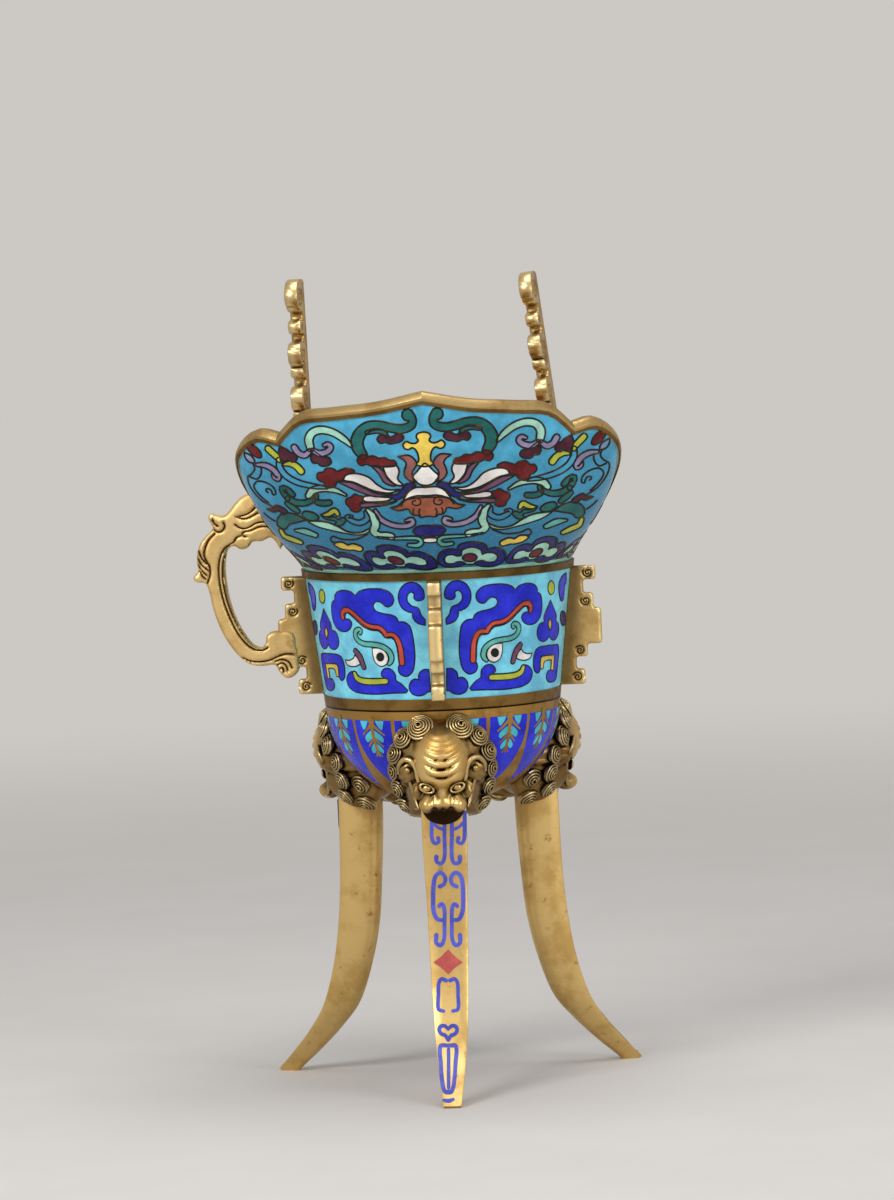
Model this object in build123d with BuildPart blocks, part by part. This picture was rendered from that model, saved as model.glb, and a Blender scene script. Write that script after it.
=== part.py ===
from build123d import *
import os
from math import atan2, ceil, cos, degrees, pi, radians, sin

# A cloisonne jue: a three-legged wine cup with a pointed tail (-Y), a trough spout (+Y),
# a dragon handle (-X) and two posts on the rim. Z = 0 is the table, the cup's axis is the Z axis.

# Driving dimensions, in millimetres
LEG_CLEARANCE_Z = 61.3      # underside of the bowl above the table
BOWL_RADIUS = 25.8
BOWL_DEPTH = 22.5
BOWL_WALL = 2.2
BAND_FOOT_HEIGHT = 2.7      # gilt ring under the enamel panels
PANEL_HEIGHT = 26.0
NECK_RING_HEIGHT = 1.6
NECK_RING_PROUD = 0.7
FOOT_RING_PROUD = 0.25
BAND_STEP = 0.2             # how far the foot of the panels stands out past the bowl
BAND_FLARE = 3.2            # how much wider the band is at its top
ENAMEL = 0.9                # depth of the enamel skins
WALL = 1.5                  # copper wall under the enamel
RIM_HEIGHT = 3.0            # gilt moulding along the lip
RIM_PROUD = 0.6
RIM_BEVEL_SHARE = 0.45      # part of the rim's height that its bevel takes
RIM_SEAM = 0.1              # solder line under the rim
SPIGOT_HEIGHT = 2.0
NECK_SPIGOT_HEIGHT = 1.0
SPIGOT_WALL = 1.2
FIT = 0.1                   # gap of a spigot or peg in its socket
NECK_FIT = 0.3              # gap of the neck's spigot in the mouth

FLANGE_THICKNESS = 3.0
FLANGE_CORNER = 0.6
# each step of a flange, from the top: its height and how far it stands out from the panel
FLANGE_STEPS = [(3.0, 5.6), (3.0, 3.2), (3.35, 5.7), (7.8, 8.0), (2.8, 5.4), (2.8, 3.2), (3.25, 5.4)]
PEG_RADIUS = 0.8
PEG_INSET = 5.0             # peg centres from the ends of a flange

HANDLE_THICKNESS = 5.2
HEAD_THICKNESS = 7.4
HANDLE_STAND = 23.2         # from the neck to the back of the handle
HANDLE_PIN_RADIUS = 0.7
HANDLE_WIDTH = 5.9          # of the arm at its back
HANDLE_GRIP = 3.6           # how far the foot straddles the flange
HANDLE_CURL_RADIUS = 2.4
HEAD_LENGTH = 14.0
HEAD_HEIGHT = 9.0

POST_ANGLE = 106.0          # degrees round the lip from the tail
POST_INSET = 2.0            # middle of a post in from the outside of the lip
POST_SHIFT = 2.3            # front of a post's spine towards the spout
POST_HEIGHT = 54.8          # above the saddle of the lip
POST_THICKNESS = 2.9
POST_SPINE = 3.6
POST_LOBE = 4.0             # how far the scrolls stand out from the spine
POST_HEAD = 7.5
POST_KNOB = 3.1
POST_BLOCK = 6.5
POST_SCROLLS = 3
POST_CLIP = 6.0
POST_CLIP_DROP = 3.6        # how far the clip reaches down past the lip
POST_CLIP_WIDTH = 7.0
POST_CLIP_LENGTH = 7.0
HANDLE_POST_LEAN = -1.0     # degrees towards +X
PLAIN_POST_LEAN = -6.5

LAPPETS = 15
LAPPET_DEPTH = 0.7
LAPPET_SHARE = 0.89         # part of each lappet's place that it fills
LAPPET_LENGTH = 15.5
LAPPET_TOP_GAP = 2.4        # plain strip of the bowl above the lappets

LEG_SPREAD = 20.6           # how far a toe stands out from the top of its leg
LEG_INSET = 0.4             # outer face of a leg in from the bowl's side
LEG_TOP_WIDTH = 9.8
LEG_MID_WIDTH = 8.6
LEG_TOE_WIDTH = 4.6
LEG_DEPTH = 7.8
LEG_SHOULDER = 1.2          # top of the leg over the underside of the bowl
LEG_FOOT_FLAT = 4.2
LEG_TOE_ROUND = 0.8
TENON_WIDTH = 5.0
TENON_DEPTH = 4.4
TENON_HEIGHT = 5.0
RIVET_RADIUS = 1.0
RIVET_HEAD_RADIUS = 2.2
RIVET_HEAD = 3.0
RIVET_LENGTH = 10.4
RIVET_DROP = 12.5           # below the bowl's rim
LEG_PIN_RADIUS = 0.8
LEG_PIN_LENGTH = 11.0

# Radii, levels and slopes that follow from the sizes above
BAND_BOTTOM_RADIUS = BOWL_RADIUS + BAND_STEP
BAND_TOP_RADIUS = BAND_BOTTOM_RADIUS + BAND_FLARE
LEG_TOP_RADIUS = BOWL_RADIUS - LEG_INSET
LEG_REACH = LEG_TOP_RADIUS + LEG_SPREAD
LAPPET_WIDTH = 2 * pi * BOWL_RADIUS / LAPPETS * LAPPET_SHARE
BOWL_RIM_Z = LEG_CLEARANCE_Z + BOWL_DEPTH
PANEL_Z = BOWL_RIM_Z + BAND_FOOT_HEIGHT
PANEL_TOP_Z = PANEL_Z + PANEL_HEIGHT
NECK_Z = PANEL_TOP_Z + NECK_RING_HEIGHT
BAND_SLOPE = (BAND_TOP_RADIUS - BAND_BOTTOM_RADIUS) / PANEL_HEIGHT
LIP_WALL = ENAMEL + WALL
QUARTER = 0.5523            # handle length of a curve that draws a quarter of an ellipse


def band_radius(z, inset=0.0):
    """Radius of the band's outer cone at height z, less an inset."""
    return BAND_BOTTOM_RADIUS + BAND_SLOPE * (z - PANEL_Z) - inset


NECK_RADIUS = band_radius(NECK_Z)
HANDLE_REACH = NECK_RADIUS + HANDLE_STAND

# The mouth's lip from the tail (0 degrees) round one side to the spout (180 degrees): angle, reach
# past the neck, height above the neck, and where the wall's curve bends, as shares of reach and height.
TAIL_SPAN = [
    (0.0, 31.1, 40.4, 0.86, 0.30),
    (9.9, 29.0, 38.4, 0.86, 0.30),
    (20.5, 27.7, 37.4, 0.85, 0.31),
    (28.6, 27.0, 36.4, 0.84, 0.32),
    (34.6, 26.5, 32.0, 0.83, 0.34),
]
SIDE_SPAN = [
    TAIL_SPAN[-1],
    (40.3, 27.2, 32.9, 0.82, 0.34),
    (47.0, 26.2, 29.6, 0.80, 0.34),
    (54.0, 21.6, 25.0, 0.78, 0.35),
    (62.0, 14.8, 18.6, 0.72, 0.38),
    (72.0, 8.0, 12.4, 0.66, 0.42),
    (88.0, 3.2, 8.9, 0.60, 0.45),
    (POST_ANGLE, 2.2, 8.4, 0.60, 0.45),
    (126.0, 2.3, 9.4, 0.62, 0.42),
    (143.0, 4.6, 12.0, 0.66, 0.38),
    (154.0, 13.0, 16.4, 0.62, 0.33),
    (161.5, 25.6, 21.6, 0.60, 0.29),
    (166.0, 36.6, 25.4, 0.62, 0.26),
    (171.5, 40.0, 21.0, 0.56, 0.24),
    (180.0, 40.8, 15.5, 0.52, 0.22),
]
WAIST_ROW = SIDE_SPAN[6]    # where the handle meets the lip
POST_ROW = SIDE_SPAN[7]     # where the posts stand
LIP_STEP = 6.0              # degrees between sections of the wall


def row_slopes(rows, column, flat_end):
    """Slope of one column of the lip's rows at each row, level at the spout's middle."""
    last = len(rows) - 1
    slopes = []
    for number in range(len(rows)):
        before = rows[max(number - 1, 0)]
        after = rows[min(number + 1, last)]
        slopes.append((after[column] - before[column]) / (after[0] - before[0]))
    if flat_end:
        slopes[-1] = 0.0
    return slopes


def blend_rows(rows, flat_end=False):
    """Rows close together on a smooth curve through the given rows."""
    slopes = [row_slopes(rows, column, flat_end) for column in range(len(rows[0]))]
    blended = []
    for number in range(len(rows) - 1):
        start = rows[number]
        end = rows[number + 1]
        gap = end[0] - start[0]
        steps = ceil(gap / LIP_STEP)
        for step in range(steps):
            t = step / steps
            row = [start[0] + gap * t]
            for column in range(1, len(start)):
                from_start = start[column] * (1 + 2 * t) * (1 - t) ** 2
                from_end = end[column] * t**2 * (3 - 2 * t)
                leave = slopes[column][number] * gap * t * (1 - t) ** 2
                arrive = slopes[column][number + 1] * gap * t**2 * (t - 1)
                row.append(from_start + from_end + leave + arrive)
            blended.append(tuple(row))
    return blended + [rows[-1]]


LIP_SPANS = [blend_rows(TAIL_SPAN), blend_rows(SIDE_SPAN, flat_end=True)]


def meridian_plane(angle):
    """Upright plane through the cup's axis: local x runs outwards, local y upwards."""
    out_x = sin(radians(angle))
    out_y = -cos(radians(angle))
    return Plane(origin=(0, 0, 0), x_dir=(out_x, out_y, 0), z_dir=(out_y, -out_x, 0))


def wall_curve(row, inset):
    """Neck, bend and end of the wall's curve under the rim, and the end of the lip, all inset."""
    angle, reach, height, bend_reach, bend_height = row
    neck = Vector(NECK_RADIUS, NECK_Z)
    lip = neck + Vector(reach, height)
    bend = neck + Vector(reach * bend_reach, height * bend_height)
    inward_at_lip = (lip - bend).normalized().rotate(Axis.Z, 90)
    inward_at_bend = (lip - neck).normalized().rotate(Axis.Z, 90)
    neck = neck - Vector(inset, 0)
    bend = bend + inward_at_bend * inset
    lip = lip + inward_at_lip * inset
    share = 1 - RIM_HEIGHT / (2 * (lip - bend).length)
    low_bend = neck + (bend - neck) * share
    high_bend = bend + (lip - bend) * share
    return neck, low_bend, low_bend + (high_bend - low_bend) * share, lip


def wall_section(row, outer, inner):
    """Closed section of one layer of the wall, from the neck to the underside of the rim."""
    out_neck, out_bend, out_top, _ = wall_curve(row, outer)
    in_neck, in_bend, in_top, _ = wall_curve(row, inner)
    with BuildSketch(meridian_plane(row[0])) as section:
        with BuildLine():
            Bezier(out_neck, out_bend, out_top)
            Line(out_top, in_top)
            Bezier(in_top, in_bend, in_neck)
            Line(in_neck, out_neck)
        make_face()
    return section.sketch


def copper_section(row):
    return wall_section(row, ENAMEL, LIP_WALL)


def enamel_section(row):
    return wall_section(row, 0.0, ENAMEL)


def lip_section(row):
    """Section of the whole wall and rim, with a fitting gap all round, to cut what grips the lip."""
    out_neck, out_bend, out_low, out_top = wall_curve(row, -RIM_PROUD - FIT)
    in_neck, in_bend, in_low, in_top = wall_curve(row, LIP_WALL + FIT)
    rise = (out_top - out_low).normalized() * FIT
    with BuildSketch(meridian_plane(row[0])) as section:
        with BuildLine():
            Bezier(out_neck, out_bend, out_low)
            Polyline(out_low, out_top + rise, in_top + rise, in_low)
            Bezier(in_low, in_bend, in_neck)
            Line(in_neck, out_neck)
        make_face()
    return section.sketch


def rim_section(row):
    """Closed section of the rim moulding, with a bevel along its outer top edge."""
    _, _, out_low, out_top = wall_curve(row, 0.0)
    _, _, in_low, in_top = wall_curve(row, LIP_WALL)
    seat = (out_top - out_low).normalized() * RIM_SEAM
    out = (out_top - in_top).normalized() * RIM_PROUD
    bevel = (out_low - out_top) * RIM_BEVEL_SHARE
    with BuildSketch(meridian_plane(row[0])) as section:
        with BuildLine():
            corners = [in_low + seat, out_low + out + seat, out_top + out + bevel, out_top - out, in_top]
            Polyline(*corners, close=True)
        make_face()
    return section.sketch


def lip_cutter(low, high):
    """Stretch of the wall and rim between two angles, on the plain side."""
    with BuildPart() as cutter:
        loft(sections=[lip_section(row) for row in LIP_SPANS[-1] if low <= row[0] <= high])
    return cutter.part


def round_the_mouth(section_of_row):
    """Loft a section along each span of the lip, mirror the spans and close them into one solid."""
    faces = []
    for span in LIP_SPANS:
        with BuildPart() as length:
            loft(sections=[section_of_row(row) for row in span])
        faces += length.faces().filter_by(GeomType.PLANE, reverse=True)
    faces += [face.mirror(Plane.YZ) for face in faces]
    return Part(Solid(Shell(faces)).wrapped)


os.makedirs("parts", exist_ok=True)


def keep(part, name):
    """Label a finished piece and write its file."""
    part.label = name
    export_step(part, f"parts/{name}.step")


# Mouth: copper wall, enamel skin and rim moulding
mouth_body = round_the_mouth(copper_section)
mouth_enamel = round_the_mouth(enamel_section)
mouth_rim = round_the_mouth(rim_section)
keep(mouth_body, "mouth_body")
keep(mouth_enamel, "mouth_enamel")
keep(mouth_rim, "mouth_rim")


def ring(points):
    """Solid of revolution about the cup's axis from corners given as (radius, height)."""
    with BuildPart() as turned:
        with BuildSketch(Plane.XZ):
            with BuildLine():
                Polyline(*points, close=True)
            make_face()
        revolve(axis=Axis.Z)
    return turned.part


def band_layer(low, high, outer, inner):
    """Corners of a layer of the band between two heights, given by its insets."""
    return [
        (band_radius(low, inner), low),
        (band_radius(low, outer), low),
        (band_radius(high, outer), high),
        (band_radius(high, inner), high),
    ]


# Band: copper wall with peg holes, the rings at its ends
PEG_HEIGHTS = [PANEL_Z + PEG_INSET, PANEL_TOP_Z - PEG_INSET]
with BuildPart() as band_body:
    add(ring(band_layer(BOWL_RIM_Z, NECK_Z, ENAMEL, LIP_WALL)))
    lip_inside = NECK_RADIUS - LIP_WALL - NECK_FIT
    add(ring([(lip_inside - SPIGOT_WALL, NECK_Z - SPIGOT_HEIGHT), (lip_inside + FIT, NECK_Z - SPIGOT_HEIGHT),
              (lip_inside, NECK_Z + NECK_SPIGOT_HEIGHT),
              (lip_inside - SPIGOT_WALL, NECK_Z + NECK_SPIGOT_HEIGHT)]))
    for height in PEG_HEIGHTS:
        for plane in (Plane.XZ, Plane.YZ):
            with BuildSketch(plane):
                with Locations((0, height)):
                    Circle(PEG_RADIUS + FIT)
            extrude(amount=BAND_TOP_RADIUS, both=True, mode=Mode.SUBTRACT)
keep(band_body.part, "band_body")

foot_ring = ring(band_layer(BOWL_RIM_Z, PANEL_Z, -FOOT_RING_PROUD, ENAMEL))
keep(foot_ring, "band_foot_ring")
neck_ring = ring(band_layer(PANEL_TOP_Z, NECK_Z, -NECK_RING_PROUD, ENAMEL))
keep(neck_ring, "neck_ring")


def flange_steps(grow=0.0):
    """Outline corners of a flange, from its foot on the wall up the wall and down the steps."""
    corners = [(band_radius(PANEL_Z, LIP_WALL), PANEL_Z), (band_radius(PANEL_TOP_Z, LIP_WALL), PANEL_TOP_Z)]
    top = PANEL_TOP_Z
    for number, (height, out) in enumerate(FLANGE_STEPS):
        low = PANEL_Z if number == len(FLANGE_STEPS) - 1 else top - height
        edge = band_radius((top + low) / 2) + out + grow
        corners.append((edge, top))
        corners.append((edge, low))
        top = low
    return corners


def flange_plate(thickness, grow=0.0):
    """Stepped plate on the +X side, from the copper wall outwards."""
    with BuildPart() as plate:
        with BuildSketch(Plane.XZ) as outline:
            with BuildLine():
                Polyline(*flange_steps(grow), close=True)
            make_face()
            outer = [v for v in outline.vertices() if v.X > band_radius(v.Y) + FLANGE_CORNER]
            fillet(outer, radius=FLANGE_CORNER)
        extrude(amount=thickness / 2, both=True)
        add(ring([(0, PANEL_Z)] + band_layer(PANEL_Z, PANEL_TOP_Z, ENAMEL, LIP_WALL)[1:3] + [(0, PANEL_TOP_Z)]),
            mode=Mode.SUBTRACT)
    return plate.part


# Enamel panels between the flanges
with BuildPart() as panel:
    with BuildSketch(Plane.XZ):
        with BuildLine():
            Polyline(*band_layer(PANEL_Z, PANEL_TOP_Z, 0.0, ENAMEL), close=True)
        make_face()
    revolve(axis=Axis.Z, revolution_arc=90)
    slot = FLANGE_THICKNESS + 2 * FIT
    with Locations((0, 0, PANEL_Z + PANEL_HEIGHT / 2)):
        Box(4 * BAND_TOP_RADIUS, slot, 2 * PANEL_HEIGHT, mode=Mode.SUBTRACT)
        Box(slot, 4 * BAND_TOP_RADIUS, 2 * PANEL_HEIGHT, mode=Mode.SUBTRACT)
PANEL_NAMES = ["band_panel_spout_right", "band_panel_spout_left", "band_panel_tail_left", "band_panel_tail_right"]
panel_turn = degrees(atan2(panel.part.center().Y, panel.part.center().X)) - 45
for number, name in enumerate(PANEL_NAMES):
    keep(panel.part.rotate(Axis.Z, 90 * number - panel_turn), name)

# Flanges with two pegs each; the one under the handle takes the handle's pin
HANDLE_FOOT_Z = PANEL_TOP_Z - sum(height for height, _ in FLANGE_STEPS[:3]) - FLANGE_STEPS[3][0] / 2
HANDLE_FOOT_X = -(band_radius(HANDLE_FOOT_Z) + FLANGE_STEPS[3][1])
HANDLE_PIN_AT = (HANDLE_FOOT_X + 2.4, HANDLE_FOOT_Z - 1.2)
with BuildPart() as flange:
    add(flange_plate(FLANGE_THICKNESS))
    for height in PEG_HEIGHTS:
        peg_root = band_radius(height, LIP_WALL)
        with BuildSketch(Plane.YZ.offset(peg_root)):
            with Locations((0, height)):
                Circle(PEG_RADIUS)
        extrude(amount=ENAMEL + WALL + 1)
keep(flange.part.rotate(Axis.Z, -90), "flange_tail")
keep(flange.part.rotate(Axis.Z, 90), "flange_spout")
keep(flange.part.rotate(Axis.Z, 0), "flange_plain")
with BuildPart() as flange_handle:
    add(flange.part.rotate(Axis.Z, 180))
    with BuildSketch(Plane.XZ):
        with Locations(HANDLE_PIN_AT):
            Circle(HANDLE_PIN_RADIUS)
    extrude(amount=HANDLE_THICKNESS, both=True, mode=Mode.SUBTRACT)
keep(flange_handle.part, "flange_handle")


def bowl_curve(radius, depth):
    """Quarter of an ellipse under the bowl's rim, from the axis out."""
    low = BOWL_RIM_Z - depth
    return Bezier((0, low), (radius * QUARTER, low), (radius, BOWL_RIM_Z - depth * QUARTER), (radius, BOWL_RIM_Z))


def bowl_solid(inset):
    """Half ellipsoid of the bowl, inset from its outside."""
    with BuildPart() as solid:
        with BuildSketch(Plane.XZ):
            with BuildLine():
                bowl_curve(BOWL_RADIUS - inset, BOWL_DEPTH - inset)
                Polyline(
                    (BOWL_RADIUS - inset, BOWL_RIM_Z),
                    (0, BOWL_RIM_Z),
                    (0, BOWL_RIM_Z - BOWL_DEPTH + inset),
                )
            make_face()
        revolve(axis=Axis.Z)
    return solid.part


bowl_outside = bowl_solid(0.0)


def leaf_plane(angle):
    """Upright plane on the cup's axis that faces outwards at an angle from the tail."""
    out = (sin(radians(angle)), -cos(radians(angle)), 0)
    return Plane(origin=(0, 0, 0), x_dir=(-out[1], out[0], 0), z_dir=out)


# Lappets: pointed leaves of enamel let into the outside of the bowl
with BuildPart() as lappet_pockets:
    for number in range(LAPPETS):
        with BuildSketch(leaf_plane((number + 0.5) * 360 / LAPPETS)):
            with BuildLine():
                leaf_top = BOWL_RIM_Z - LAPPET_TOP_GAP
                side = Spline(
                    (LAPPET_WIDTH / 2, leaf_top),
                    (LAPPET_WIDTH / 3, leaf_top - LAPPET_LENGTH * 0.55),
                    (0, leaf_top - LAPPET_LENGTH),
                )
                mirror(side, about=Plane.YZ)
                Line((LAPPET_WIDTH / 2, leaf_top), (-LAPPET_WIDTH / 2, leaf_top))
            make_face()
        extrude(amount=2 * BOWL_RADIUS)
    add(bowl_solid(LAPPET_DEPTH), mode=Mode.SUBTRACT)
with BuildPart() as lappets:
    add(bowl_outside)
    add(lappet_pockets.part, mode=Mode.INTERSECT)
keep(lappets.part, "bowl_lappets")

LEG_ANGLES = {"tail": 0, "left": -120, "right": 120}
RIVET_Z = BOWL_RIM_Z - RIVET_DROP
RIVET_PLANE = leaf_plane(0)

with BuildPart() as bowl:
    spigot = band_radius(BOWL_RIM_Z, LIP_WALL) - FIT
    inner_radius = spigot - SPIGOT_WALL
    inner_depth = BOWL_DEPTH - BOWL_WALL
    with BuildSketch(Plane.XZ):
        with BuildLine():
            bowl_curve(BOWL_RADIUS, BOWL_DEPTH)
            Polyline(
                (BOWL_RADIUS, BOWL_RIM_Z),
                (spigot, BOWL_RIM_Z),
                (spigot, BOWL_RIM_Z + SPIGOT_HEIGHT),
                (inner_radius, BOWL_RIM_Z + SPIGOT_HEIGHT),
                (inner_radius, BOWL_RIM_Z),
            )
            bowl_curve(inner_radius, inner_depth)
            Line((0, BOWL_RIM_Z - inner_depth), (0, BOWL_RIM_Z - BOWL_DEPTH))
        make_face()
    revolve(axis=Axis.Z)
    add(lappet_pockets.part, mode=Mode.SUBTRACT)
    for angle in LEG_ANGLES.values():
        with BuildSketch(leaf_plane(angle)):
            with Locations((0, RIVET_Z)):
                Circle(RIVET_RADIUS + FIT)
        extrude(amount=2 * BOWL_RADIUS, mode=Mode.SUBTRACT)
keep(bowl.part, "bowl")

# Legs: a sabre in the upright plane, narrowed in front view, with a tenon into the mask
LEG_TOP_Z = LEG_CLEARANCE_Z + LEG_SHOULDER
# heights as shares of the leg, outward sweep as shares of the leg's reach, depth as shares of its top depth
LEG_SWEEP = [
    (0.83, 0.01, 1.0),
    (0.555, 0.085, 1.0),
    (0.41, 0.165, 0.94),
    (0.26, 0.32, 0.88),
    (0.163, 0.53, 0.76),
    (0.075, 0.78, 0.66),
    (0.02, 0.96, 0.46),
]


def leg_solid():
    """Leg under the tail, in its place."""
    sweep = LEG_REACH - LEG_TOP_RADIUS
    outer = [(LEG_TOP_RADIUS + sweep * out, LEG_TOP_Z * up) for up, out, _ in LEG_SWEEP]
    inner = [(LEG_TOP_RADIUS + sweep * out - LEG_DEPTH * deep, LEG_TOP_Z * up) for up, out, deep in LEG_SWEEP]
    heel = (LEG_REACH - LEG_FOOT_FLAT, 0)
    toe = (LEG_REACH - LEG_TOE_ROUND, 0)
    tip = (LEG_REACH, LEG_TOE_ROUND)
    with BuildPart() as leg:
        with BuildSketch(meridian_plane(0)):
            with BuildLine():
                top_outer = (LEG_TOP_RADIUS, LEG_TOP_Z)
                top_inner = (LEG_TOP_RADIUS - LEG_DEPTH, LEG_TOP_Z)
                Spline(top_outer, *outer[:-1], tip)
                Line(tip, toe)
                Line(toe, heel)
                Spline(heel, *inner[-2::-1], top_inner)
                Line(top_inner, top_outer)
            make_face()
        extrude(amount=LEG_TOP_WIDTH / 2, both=True)
        with BuildSketch(leaf_plane(0)):
            with BuildLine():
                flank = Spline(
                    (LEG_TOP_WIDTH / 2, LEG_TOP_Z),
                    (LEG_MID_WIDTH / 2, LEG_TOP_Z * 0.45),
                    (LEG_TOE_WIDTH / 2, 0),
                )
                mirror(flank, about=Plane.YZ)
                Line((-LEG_TOE_WIDTH / 2, 0), (LEG_TOE_WIDTH / 2, 0))
                Line((-LEG_TOP_WIDTH / 2, LEG_TOP_Z), (LEG_TOP_WIDTH / 2, LEG_TOP_Z))
            make_face()
        extrude(amount=2 * LEG_REACH, mode=Mode.INTERSECT)
        tenon_y = -(LEG_TOP_RADIUS - LEG_DEPTH / 2)
        with BuildSketch(Plane.XY.offset(LEG_TOP_Z)):
            with Locations((0, tenon_y)):
                Rectangle(TENON_WIDTH, TENON_DEPTH)
        extrude(amount=TENON_HEIGHT)
    return leg.part


leg_blank = leg_solid()
LEG_PIN_Y = -(LEG_TOP_RADIUS - LEG_DEPTH / 2)
LEG_PIN_Z = LEG_TOP_Z + TENON_HEIGHT / 2
with BuildPart() as leg_pin:
    with BuildSketch(Plane.YZ):
        with Locations((LEG_PIN_Y, LEG_PIN_Z)):
            Circle(LEG_PIN_RADIUS)
    extrude(amount=LEG_PIN_LENGTH / 2, both=True)
with BuildPart() as rivet:
    with BuildSketch(RIVET_PLANE.offset(BOWL_RADIUS - RIVET_LENGTH)):
        with Locations((0, RIVET_Z)):
            Circle(RIVET_RADIUS)
    extrude(amount=RIVET_LENGTH)
    with BuildSketch(RIVET_PLANE.offset(BOWL_RADIUS - RIVET_LENGTH)):
        with Locations((0, RIVET_Z)):
            Circle(RIVET_HEAD_RADIUS)
    extrude(amount=RIVET_HEAD)
    add(bowl.part, mode=Mode.SUBTRACT)

# Lion masks: rounded masses as (distance past the bowl's side, sideways,
# height over the leg's top as a share of the bowl's depth, radius)
MASK_MASSES = [
    (-2.6, 0.0, 0.46, 8.6),
    (1.6, 0.0, 0.52, 5.7),
    (0.8, 0.0, 0.14, 4.7),
]
MASK_PAIRS = [
    (2.6, 3.5, 0.32, 3.0),
    (-2.2, 5.4, 0.13, 3.6),
    (-0.4, 7.2, 0.43, 2.4),
    (-0.4, 4.3, 0.81, 2.5),
    (-1.6, 8.2, 0.68, 2.4),
    (-3.2, 10.0, 0.51, 2.2),
    (-4.0, 9.0, 0.28, 2.4),
]
with BuildPart() as mask:
    for out, sideways, up, radius in MASK_MASSES + MASK_PAIRS + [(o, -s, u, r) for o, s, u, r in MASK_PAIRS]:
        with Locations((sideways, -BOWL_RADIUS - out, LEG_TOP_Z + BOWL_DEPTH * up)):
            Sphere(radius, rotation=(0, 90, 0))
    add(bowl_outside, mode=Mode.SUBTRACT)
    split(bisect_by=Plane.XY.offset(BOWL_RIM_Z), keep=Keep.BOTTOM)
    add(leg_blank, mode=Mode.SUBTRACT)
    add(leg_pin.part, mode=Mode.SUBTRACT)
    add(rivet.part, mode=Mode.SUBTRACT)
with BuildPart() as leg:
    add(leg_blank)
    add(leg_pin.part, mode=Mode.SUBTRACT)
for name, angle in LEG_ANGLES.items():
    keep(mask.part.rotate(Axis.Z, angle), f"lion_mask_{name}")
    keep(leg.part.rotate(Axis.Z, angle), f"leg_{name}")
keep(Compound([rivet.part.rotate(Axis.Z, angle) for angle in LEG_ANGLES.values()]), "mask_rivets")
keep(Compound([leg_pin.part.rotate(Axis.Z, angle) for angle in LEG_ANGLES.values()]), "leg_pins")

# Handle: a dragon that bites the lip at the waist, its tail slotted over the flange and pinned
BITE_X = -(NECK_RADIUS + WAIST_ROW[1])
BITE_Z = NECK_Z + WAIST_ROW[2]


def from_bite(out, up):
    return (BITE_X - out, BITE_Z + up)


def from_foot(out, up):
    return (HANDLE_FOOT_X - out, HANDLE_FOOT_Z + up)


with BuildPart() as handle:
    with BuildSketch(Plane.XZ):
        with BuildLine():
            snout = from_bite(-3.6, 3.0)
            brow = from_bite(8.2, 8.1)
            crown = from_bite(12.9, 4.3)
            horn = from_bite(17.0, 4.4)
            nape = from_bite(16.4, 0.3)
            throat = from_bite(13.2, -3.8)
            fang = from_bite(1.8, -4.3)
            back = (-HANDLE_REACH, NECK_Z + 2.0)
            heel = from_foot(3.0, -6.2)
            belly = (-HANDLE_REACH + HANDLE_WIDTH, NECK_Z + 0.2)
            root = from_foot(2.6, 0.4)
            Spline(snout, from_bite(0.4, 7.2), brow, crown)
            Spline(crown, from_bite(15.0, 3.6), horn)
            Line(horn, nape)
            Spline(nape, back, from_foot(13.5, 4.5), from_foot(8.5, -3.9), heel)
            Line(heel, from_foot(-HANDLE_GRIP, -6.2))
            Line(from_foot(-HANDLE_GRIP, -6.2), from_foot(-HANDLE_GRIP, 1.5))
            Line(from_foot(-HANDLE_GRIP, 1.5), from_foot(0.6, 1.5))
            Spline(from_foot(0.6, 1.5), root, from_foot(3.9, -2.2), from_foot(7.5, 1.0), from_foot(10.1, 7.3), belly, throat)
            Spline(throat, from_bite(8.8, -3.6), from_bite(2.9, -2.4))
            Polyline(from_bite(2.9, -2.4), fang, from_bite(-1.6, -2.2), from_bite(-3.0, -0.2), snout)
        make_face()
        with Locations(from_foot(-1.8, -7.2)):
            Circle(HANDLE_CURL_RADIUS)
    extrude(amount=HANDLE_THICKNESS / 2, both=True)
    with BuildSketch(Plane.XZ):
        with Locations(from_bite(8.0, 2.4)):
            Ellipse(HEAD_LENGTH / 2, HEAD_HEIGHT / 2)
    extrude(amount=HEAD_THICKNESS / 2, both=True)
    add(flange_plate(FLANGE_THICKNESS + 2 * FIT, FIT).rotate(Axis.Z, 180), mode=Mode.SUBTRACT)
    add(lip_cutter(70, 106).mirror(Plane.YZ), mode=Mode.SUBTRACT)
    with BuildSketch(Plane.XZ):
        with Locations(HANDLE_PIN_AT):
            Circle(HANDLE_PIN_RADIUS)
    extrude(amount=HANDLE_THICKNESS, both=True, mode=Mode.SUBTRACT)
keep(handle.part, "handle")

with BuildPart() as handle_pin:
    with BuildSketch(Plane.XZ):
        with Locations(HANDLE_PIN_AT):
            Circle(HANDLE_PIN_RADIUS)
    extrude(amount=HANDLE_THICKNESS / 2, both=True)
keep(handle_pin.part, "handle_pin")

# Posts: scrolled plates on the lip beside the spout, each on a clip that straddles the rim
POST_Z = NECK_Z + POST_ROW[2]
POST_LIP = NECK_RADIUS + POST_ROW[1]
POST_X = POST_LIP * sin(radians(POST_ANGLE)) - POST_INSET
POST_Y = -POST_LIP * cos(radians(POST_ANGLE)) + POST_SHIFT
SCROLL_PITCH = POST_BLOCK + POST_KNOB


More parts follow.
